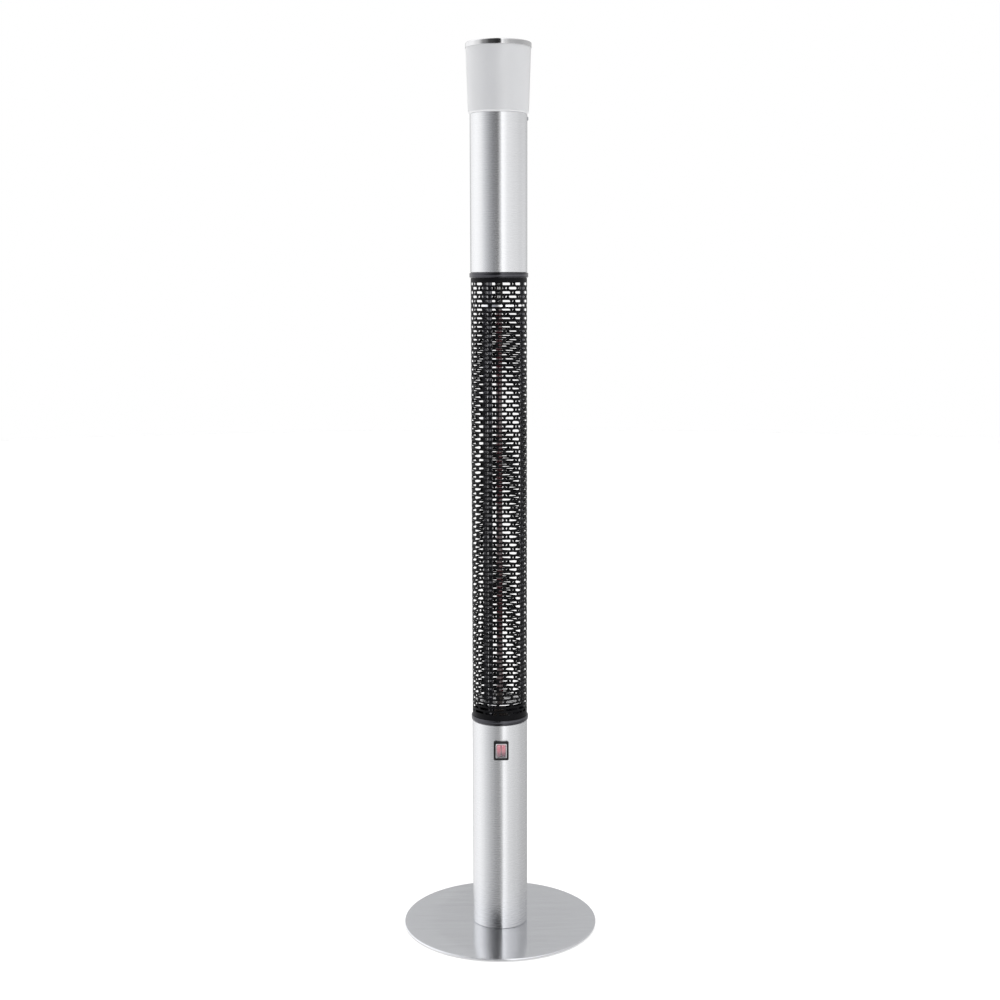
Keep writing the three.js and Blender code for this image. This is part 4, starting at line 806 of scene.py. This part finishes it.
def shade():
    """A flared wall with a rounded foot, which turns in to a flat floor with a hole."""
    low, high = levels("shade")
    foot, top, hole = 50.1, 53.6, 41
    corner, wall, lip = 4, 3, 0.2
    rise = high - low - corner
    steps = 10
    profile = [(hole, low), (foot - corner, low)]
    profile += arc((foot - corner, low + corner), corner, -85, 0, 10)
    for k in range(1, steps):
        profile.append((foot + (top - foot) * k / steps, low + corner + rise * k / steps))
    profile += [(top, high - lip), (top - lip, high), (top - wall, high)]
    profile += [(foot - wall, low + 4.5), (foot - 4.5, low + wall), (hole, low + wall)]
    dressed(smoothed(turned("shade_fine", profile, 160)), "frosted_plastic", "shade")


def top_cap():
    """A shallow cap with a boss for its post, and a skirt that reaches over the shade."""
    high = levels("top_cap")[1]
    low = high - 7
    rim, bore, boss, post = 54.3, 53.75, 8, 3.3
    wall, foot = 2, high - 16
    hem = low - 1.4
    edge, corner = 0.25, 1.3
    profile = [(0, high), (rim - 6, high), (rim - corner, high - 0.05)]
    profile += arc((rim - corner, high - 1.35), corner, 85, 0, 8) + [(rim, high - 1.55)]
    profile += [(rim, hem + 0.45)] + arc((rim - edge, hem + edge), edge, 0, -90, 4)
    profile += [(bore, hem), (bore, low), (rim - wall, low), (rim - wall, high - wall)]
    profile += [(boss, high - wall), (boss, foot), (post, foot), (post, low), (0, low)]
    dressed(smoothed(turned("top_cap_fine", profile, 192)), "polished_steel", "top_cap")


def head_screws():
    """Pan-head screws with a cross recess, made along +Z and then laid in place."""
    low, high = -7.0, 1.3
    thread, head = 2.0, 3.2
    profile = [(0, low), (1.7, low), (thread, low + 0.5), (thread, 0), (head, 0), (head, 0.3)]
    profile += arc((1.6, -0.65), 1.95, 35, 88, 6) + [(0, high)]
    for index, angle in enumerate(HEAD_SCREW_ANGLES, start=1):
        screw = turned(f"head_screw_fine_{index}", profile, 48)
        bars = []
        for across in (0, 90):
            outline = rounded_rectangle(3.4, 0.6, 0.1)
            bar = extruded(f"bar_{across}", outline, 0.6, 3, "z")
            bar.data.transform(Matrix.Rotation(math.radians(across), 4, "Z"))
            bars.append(bar)
        cut(screw, *bars)
        screw.data.transform(Matrix.Rotation(math.radians(90), 4, "Y"))
        screw.data.transform(Matrix.Translation((SEAT * MM, 0, 0)))
        screw.data.transform(Matrix.Rotation(math.radians(angle), 4, "Z"))
        screw.data.transform(Matrix.Translation((0, 0, HEAD_SCREW_LEVEL * MM)))
        dressed(smoothed(screw), "heated_steel", f"head_screw_{index}", finish="zinced_steel")


# ---------------------------------------------------------------------------
# Switch
# ---------------------------------------------------------------------------


def switch_block(name, width, height, corner, low, high, steps=6):
    """A block with rounded corners round the switch's middle, between two levels on Y."""
    outline = rounded_rectangle(width, height, corner, SWITCH_CENTRE, steps)
    return extruded(name, outline, low, high)


def switch_frame():
    bezel = switch_block("switch_frame_fine", 25.6, 32.8, 2.2, BEZEL_FRONT, -45.4)
    bevelled(bezel, 0.6, 3, 60)
    cut(bezel, turned("saddle", [(0, 290), (SEAT, 290), (SEAT, 360), (0, 360)], 160))
    joined(bezel, switch_block("barrel", 21.6, 28.4, 0.4, BEZEL_FRONT + 1.1, -27, 2))
    recess = switch_block("recess", 20.4, 26.0, 1.8, -60, BEZEL_FRONT + 1.2)
    wells = []
    for side in (-1, 1):
        outline = rounded_rectangle(7.7, 23, 0.3, (side * ROCKER_OFFSET, SWITCH_LEVEL), 2)
        wells.append(extruded(f"well_{side}", outline, -60, PIVOT_FRONT + 6))
    cut(bezel, recess, *wells)
    dressed(smoothed(bezel, 35), "black_plastic", "switch_frame")


def splash_cover():
    """A clear dome, and its pale rim as a piece of its own."""
    back = BEZEL_FRONT + 0.9
    cover = switch_block("splash_cover_fine", 17.0, 23.2, 2.2, BEZEL_FRONT - 4.2, back)
    bevelled(cover, 1.8, 4, 60)
    hollow = switch_block("hollow", 15.6, 21.8, 1.5, BEZEL_FRONT - 3.5, -45)
    bevelled(hollow, 1.2, 3, 60)
    cut(cover, hollow)
    dressed(smoothed(cover, 40), "clear_plastic", "splash_cover")
    rim = switch_block("splash_cover_rim", 18.8, 25.0, 1.8, BEZEL_FRONT - 0.6, back)
    bevelled(rim, 0.4, 2, 60)
    cut(rim, switch_block("inside", 17.1, 23.3, 2.2, -60, -40))
    dressed(smoothed(rim, 40), "clear_plastic", "splash_cover", finish="cover_rim")


def rocker(side, name):
    """One rocker at rest, its upper half pressed in, with a dished face."""
    half, reach, face, tilt = 3.4, 10.2, 3.5, math.radians(9)
    place = Vector((side * ROCKER_OFFSET, PIVOT_FRONT, SWITCH_LEVEL)) * MM
    corner = face + reach * math.tan(tilt)
    steps = 20
    outline = []
    for step in range(steps + 1):
        t = step / steps
        depth = (1 - t) ** 2 * corner + 2 * t * (1 - t) * (2 * face - corner) + t * t * corner
        outline.append((-depth, -reach + 2 * reach * t))
    outline += [(0, reach - 0.6), (3.5, 4.5), (3.5, -4.5), (0, 0.6 - reach)]
    made = extruded(name, outline, -half, half, "x")
    bevelled(made, 0.35, 3, 40)
    made.data.transform(Matrix.Rotation(-tilt, 4, "X"))
    made.data.transform(Matrix.Translation(place))
    return smoothed(made, 35)


def switch():
    switch_frame()
    for side, body in ((-1, "heat_rocker"), (1, "light_rocker")):
        dressed(rocker(side, f"{body}_fine"), "red_plastic", body, body=body)
    splash_cover()


# ---------------------------------------------------------------------------
# Cable gland at the back
# ---------------------------------------------------------------------------


def hexagon(radius):
    return [tuple(around(radius, 60 * k + 30).xy) for k in range(6)]


def laid_back(piece, seat):
    """Lays a piece that was made along +Z on +Y, its foot on the seat."""
    piece.data.transform(Matrix.Rotation(math.radians(-90), 4, "X"))
    piece.data.transform(Matrix.Translation((0, seat * MM, GLAND_LEVEL * MM)))
    return piece


def gland_body():
    """A hexagon outside the tube, a thread inside it and a clamp under the dome nut."""
    nut = extruded("gland_body_fine", hexagon(11), 0, 5, "z")
    chamfer = turned("chamfer", [(0, -20), (30, -20), (30, 3.2), (9.4, 6.4), (0, 6.4)], 64)
    combined(nut, "INTERSECT", [chamfer])
    thread = [(0, -13.3), (7.4, -13.3)]
    for crest in range(8):
        level = -12.8 + crest * 1.5
        thread += [(8.0, level), (7.3, level + 0.75)]
    thread += [(7.6, -0.4), (7.6, 0.3), (0, 0.3)]
    clamp = turned("clamp", [(0, 4.5), (7, 4.5), (7, 11.7), (6.7, 12), (0, 12)], 48)
    joined(nut, turned("thread", thread, 48), clamp)
    cut(nut, turned("bore", [(0, -20), (4.5, -20), (4.5, 20), (0, 20)], 48))
    dressed(smoothed(laid_back(nut, SEAT)), "black_plastic", "gland_body")


def gland_dome():
    """A domed nut with sixteen flutes to grip it by."""
    profile = [(7.3, 0), (10.6, 0), (11, 0.4), (11, 9.5)] + arc((6.5, 9.5), 4.5, 0, 90, 8)
    profile += [(5.1, 14), (4.5, 13.4), (4.5, 7), (7.3, 7)]
    dome = turned("gland_dome_fine", profile, 96)
    flutes = []
    for k in range(16):
        flute = turned(f"flute_{k}", [(0, -1), (1.1, -1), (1.1, 11.5), (0, 12.5)], 16)
        flute.data.transform(Matrix.Translation(around(11.6, 22.5 * k) * MM))
        flutes.append(flute)
    cut(dome, *flutes)
    dressed(smoothed(laid_back(dome, 53.1)), "black_plastic", "gland_dome_nut")


# ---------------------------------------------------------------------------
# Pieces kept as the frame has them
# ---------------------------------------------------------------------------


def finish_frame():
    """Gives each remaining node the finish of its slot, with sharp edges kept."""
    slots = {part["node"]: part["material_slot"] for part in frame["record"]["subparts"]}
    for node, piece in frame["nodes"].items():
        piece.data.materials.clear()
        piece.data.materials.append(FINISHES[slots[node]])
        smoothed(piece, 38)


# ---------------------------------------------------------------------------
# Studio
# ---------------------------------------------------------------------------

# The room's light levels at five heights, from high above the horizon to far below
# it. A stop is the degrees from the front, negative to the left, and the level there,
# which is grey or has a part for red, green and blue. No level is above the peak.
PEAK = 2.5
WALLS_UPPER = (
    (-160, 0.66),
    (-131, 1.40),
    (-100, 1.75),
    (-67, 1.00),
    (-50, 0.48),
    (-38, 0.20),
    (-20, 0.04),
    (4, 0.04),
    (9, 1.85),
    (22, 1.62),
    (35, 1.22),
    (80, 0.88),
    (97, 0.60),
)
WALLS_HIGH = (
    (-180, 0.65),
    (-141, 1.20),
    (-105, 1.25),
    (-79, 0.95),
    (-53, 0.27),
    (-30, 0.07),
    (4, 0.02),
    (10, 1.20),
    (22, 0.80),
    (40, 0.56),
    (70, 0.52),
    (125, 0.62),
)
WALLS_LEVEL = (
    (-165, 0.55),
    (-155, 0.85),
    (-136, 1.42),
    (-114, 1.62),
    (-78, 1.50),
    (-63, (1.19, 1.21, 1.26)),
    (-49, (0.90, 0.92, 0.97)),
    (-36, (0.65, 0.67, 0.71)),
    (-23, (0.36, 0.37, 0.41)),
    (-8, 0.28),
    (5, 1.90),
    (13, 2.05),
    (40, 1.75),
    (66, 1.66),
    (110, 1.38),
    (160, 0.65),
)
WALLS_MIDDLE = (
    (-180, 0.60),
    (-141, 1.10),
    (-100, 1.35),
    (-67, 1.10),
    (-40, 1.15),
    (-15, 1.45),
    (13, 1.45),
    (20, 1.55),
    (32, 1.15),
    (66, 0.88),
    (100, 0.60),
)
WALLS_LOW = (
    (-180, 0.70),
    (-141, 1.25),
    (-100, 1.32),
    (-80, 1.13),
    (-63, 0.84),
    (-36, 0.50),
    (-20, 0.22),
    (5, 0.12),
    (13, 1.28),
    (25, 1.02),
    (40, 0.77),
    (66, 0.69),
    (100, 0.64),
    (165, 0.52),
)


def studio_world():
    """White to the camera and through clear plastic.

    Light and reflections come from a pale room with a dark corner round the camera.
    """
    world = bpy.data.worlds.new("studio")
    bpy.context.scene.world = world
    world.use_nodes = True
    tree = world.node_tree
    tree.nodes.clear()

    def node(kind, **inputs):
        """A node with its inputs set or linked: by name, or by number after a "_"."""
        made = tree.nodes.new(kind)
        for key, value in inputs.items():
            socket = made.inputs[int(key[1:]) if key[0] == "_" else key.replace("_", " ")]
            if isinstance(value, bpy.types.NodeSocket):
                tree.links.new(value, socket)
            else:
                socket.default_value = value
        return made

    def math_node(operation, *values):
        inputs = {f"_{index}": value for index, value in enumerate(values)}
        made = node("ShaderNodeMath", **inputs)
        made.operation = operation
        return made.outputs["Value"]

    def ramp(value, stops):
        made = node("ShaderNodeValToRGB", Fac=value)
        elements = made.color_ramp.elements
        made.color_ramp.interpolation = "EASE"
        while len(elements) < len(stops):
            elements.new(0.5)
        for element, (position, level) in zip(elements, stops):
            shade = level if isinstance(level, tuple) else (level, level, level)
            element.position = position
            element.color = (*[part / PEAK for part in shade], 1)
        return made.outputs["Color"]

    def mixed(factor, first, second):
        made = tree.nodes.new("ShaderNodeMixRGB")
        for socket, value in zip(made.inputs, (factor, first, second)):
            tree.links.new(value, socket)
        return made.outputs["Color"]

    def fading(start, end):
        """From 0 where the sine of the elevation is `start` to 1 where it is `end`."""
        made = node("ShaderNodeMapRange", Value=rise, From_Min=start, From_Max=end)
        return made.outputs["Result"]

    direction = node("ShaderNodeTexCoord").outputs["Generated"]
    parts = node("ShaderNodeSeparateXYZ", Vector=direction)
    rise = parts.outputs["Z"]
    towards_front = math_node("MULTIPLY", parts.outputs["Y"], -1.0)
    turn = math_node("ARCTAN2", parts.outputs["X"], towards_front)
    share = math_node("MULTIPLY_ADD", turn, 0.5 / math.pi, 0.5)
    upper, high, level, middle, low = [
        ramp(share, [(degrees / 360 + 0.5, level) for degrees, level in walls])
        for walls in (WALLS_UPPER, WALLS_HIGH, WALLS_LEVEL, WALLS_MIDDLE, WALLS_LOW)
    ]
    color = mixed(fading(-0.08, -0.20), level, middle)
    color = mixed(fading(-0.28, -0.38), color, low)
    color = mixed(fading(0.07, 0.13), color, high)
    color = mixed(fading(0.22, 0.32), color, upper)
    room = node("ShaderNodeBackground", Color=color, Strength=PEAK)
    white = node("ShaderNodeBackground", Color=(1, 1, 1, 1))
    rays = node("ShaderNodeLightPath")
    seen = math_node(
        "MAXIMUM", rays.outputs["Is Camera Ray"], rays.outputs["Is Transmission Ray"]
    )
    mix = node("ShaderNodeMixShader", Fac=seen, _1=room.outputs[0], _2=white.outputs[0])
    node("ShaderNodeOutputWorld", Surface=mix.outputs["Shader"])


def softbox(name, place, target, size, power):
    lamp = bpy.data.lights.new(name, "AREA")
    lamp.shape = "RECTANGLE"
    lamp.size, lamp.size_y = size
    lamp.energy = power
    holder = bpy.data.objects.new(name, lamp)
    holder.location = place
    holder.visible_glossy = False
    aim = Vector(target) - Vector(place)
    holder.rotation_euler = aim.to_track_quat("-Z", "Y").to_euler()
    bpy.context.scene.collection.objects.link(holder)


def floor():
    """A pale floor: white to the camera where nothing shades it."""
    reach, depth = 9000, -20
    sheet = turned("floor", [(0, 0), (reach, 0), (reach, depth), (0, depth)], 96)
    finish = Finish("floor", (0.82, 0.82, 0.82), 0.8)
    finish.shade(finish.noise(3), 0.995, 1.005)
    glow = finish.node("ShaderNodeEmission")
    rays = finish.node("ShaderNodeLightPath")
    finish.link(rays.outputs["Is Camera Ray"], glow.inputs["Strength"])
    glow.inputs["Color"].default_value = (0.30, 0.30, 0.30, 1)
    both = finish.node("ShaderNodeAddShader")
    finish.link(finish.shader.outputs["BSDF"], both.inputs[0])
    finish.link(glow.outputs["Emission"], both.inputs[1])
    output = finish.tree.nodes["Material Output"]
    finish.link(both.outputs["Shader"], output.inputs["Surface"])
    sheet.data.materials.append(finish.material)
    sheet.visible_glossy = False


def camera():
    """A camera at the photograph's viewing angle."""
    lens = bpy.data.cameras.new("camera")
    lens.sensor_width = 36
    lens.lens = 1.5421 * lens.sensor_width
    lens.clip_end = 50
    eye = bpy.data.objects.new("camera", lens)
    bpy.context.scene.collection.objects.link(eye)
    eye.location = (-0.1133, -2.5947, 1.1240)
    heading, downward, roll = -2.524, 8.144, -0.125
    turns = ((heading, "Z"), (90 - downward, "X"), (roll, "Z"))
    turn = Matrix.Identity(4)
    for degrees, axis in turns:
        turn = turn @ Matrix.Rotation(math.radians(degrees), 4, axis)
    eye.rotation_euler = turn.to_euler()
    bpy.context.scene.camera = eye


# ---------------------------------------------------------------------------
# The scene
# ---------------------------------------------------------------------------

camera()
bpy.context.scene.view_settings.view_transform = "Standard"
studio_world()
floor()
softbox("overhead_softbox", (0.3, -0.8, 3.4), (0, 0, 0.6), (2.4, 2.4), 40)
softbox("left_softbox", (-2.4, -1.0, 1.5), (0, 0, 1.1), (0.8, 1.8), 6)
finish_frame()
base()
floor_pads()
steel_tubes()
collar("lower_collar_fine", "lower_collar", LOWER_COLLAR_SEAT, 1)
collar("upper_collar_fine", "upper_collar", UPPER_COLLAR_SEAT, -1)
perforated_guard()
tie_rods()
lamp()
heating_coil()
shade()
top_cap()
head_screws()
switch()
gland_body()
gland_dome()
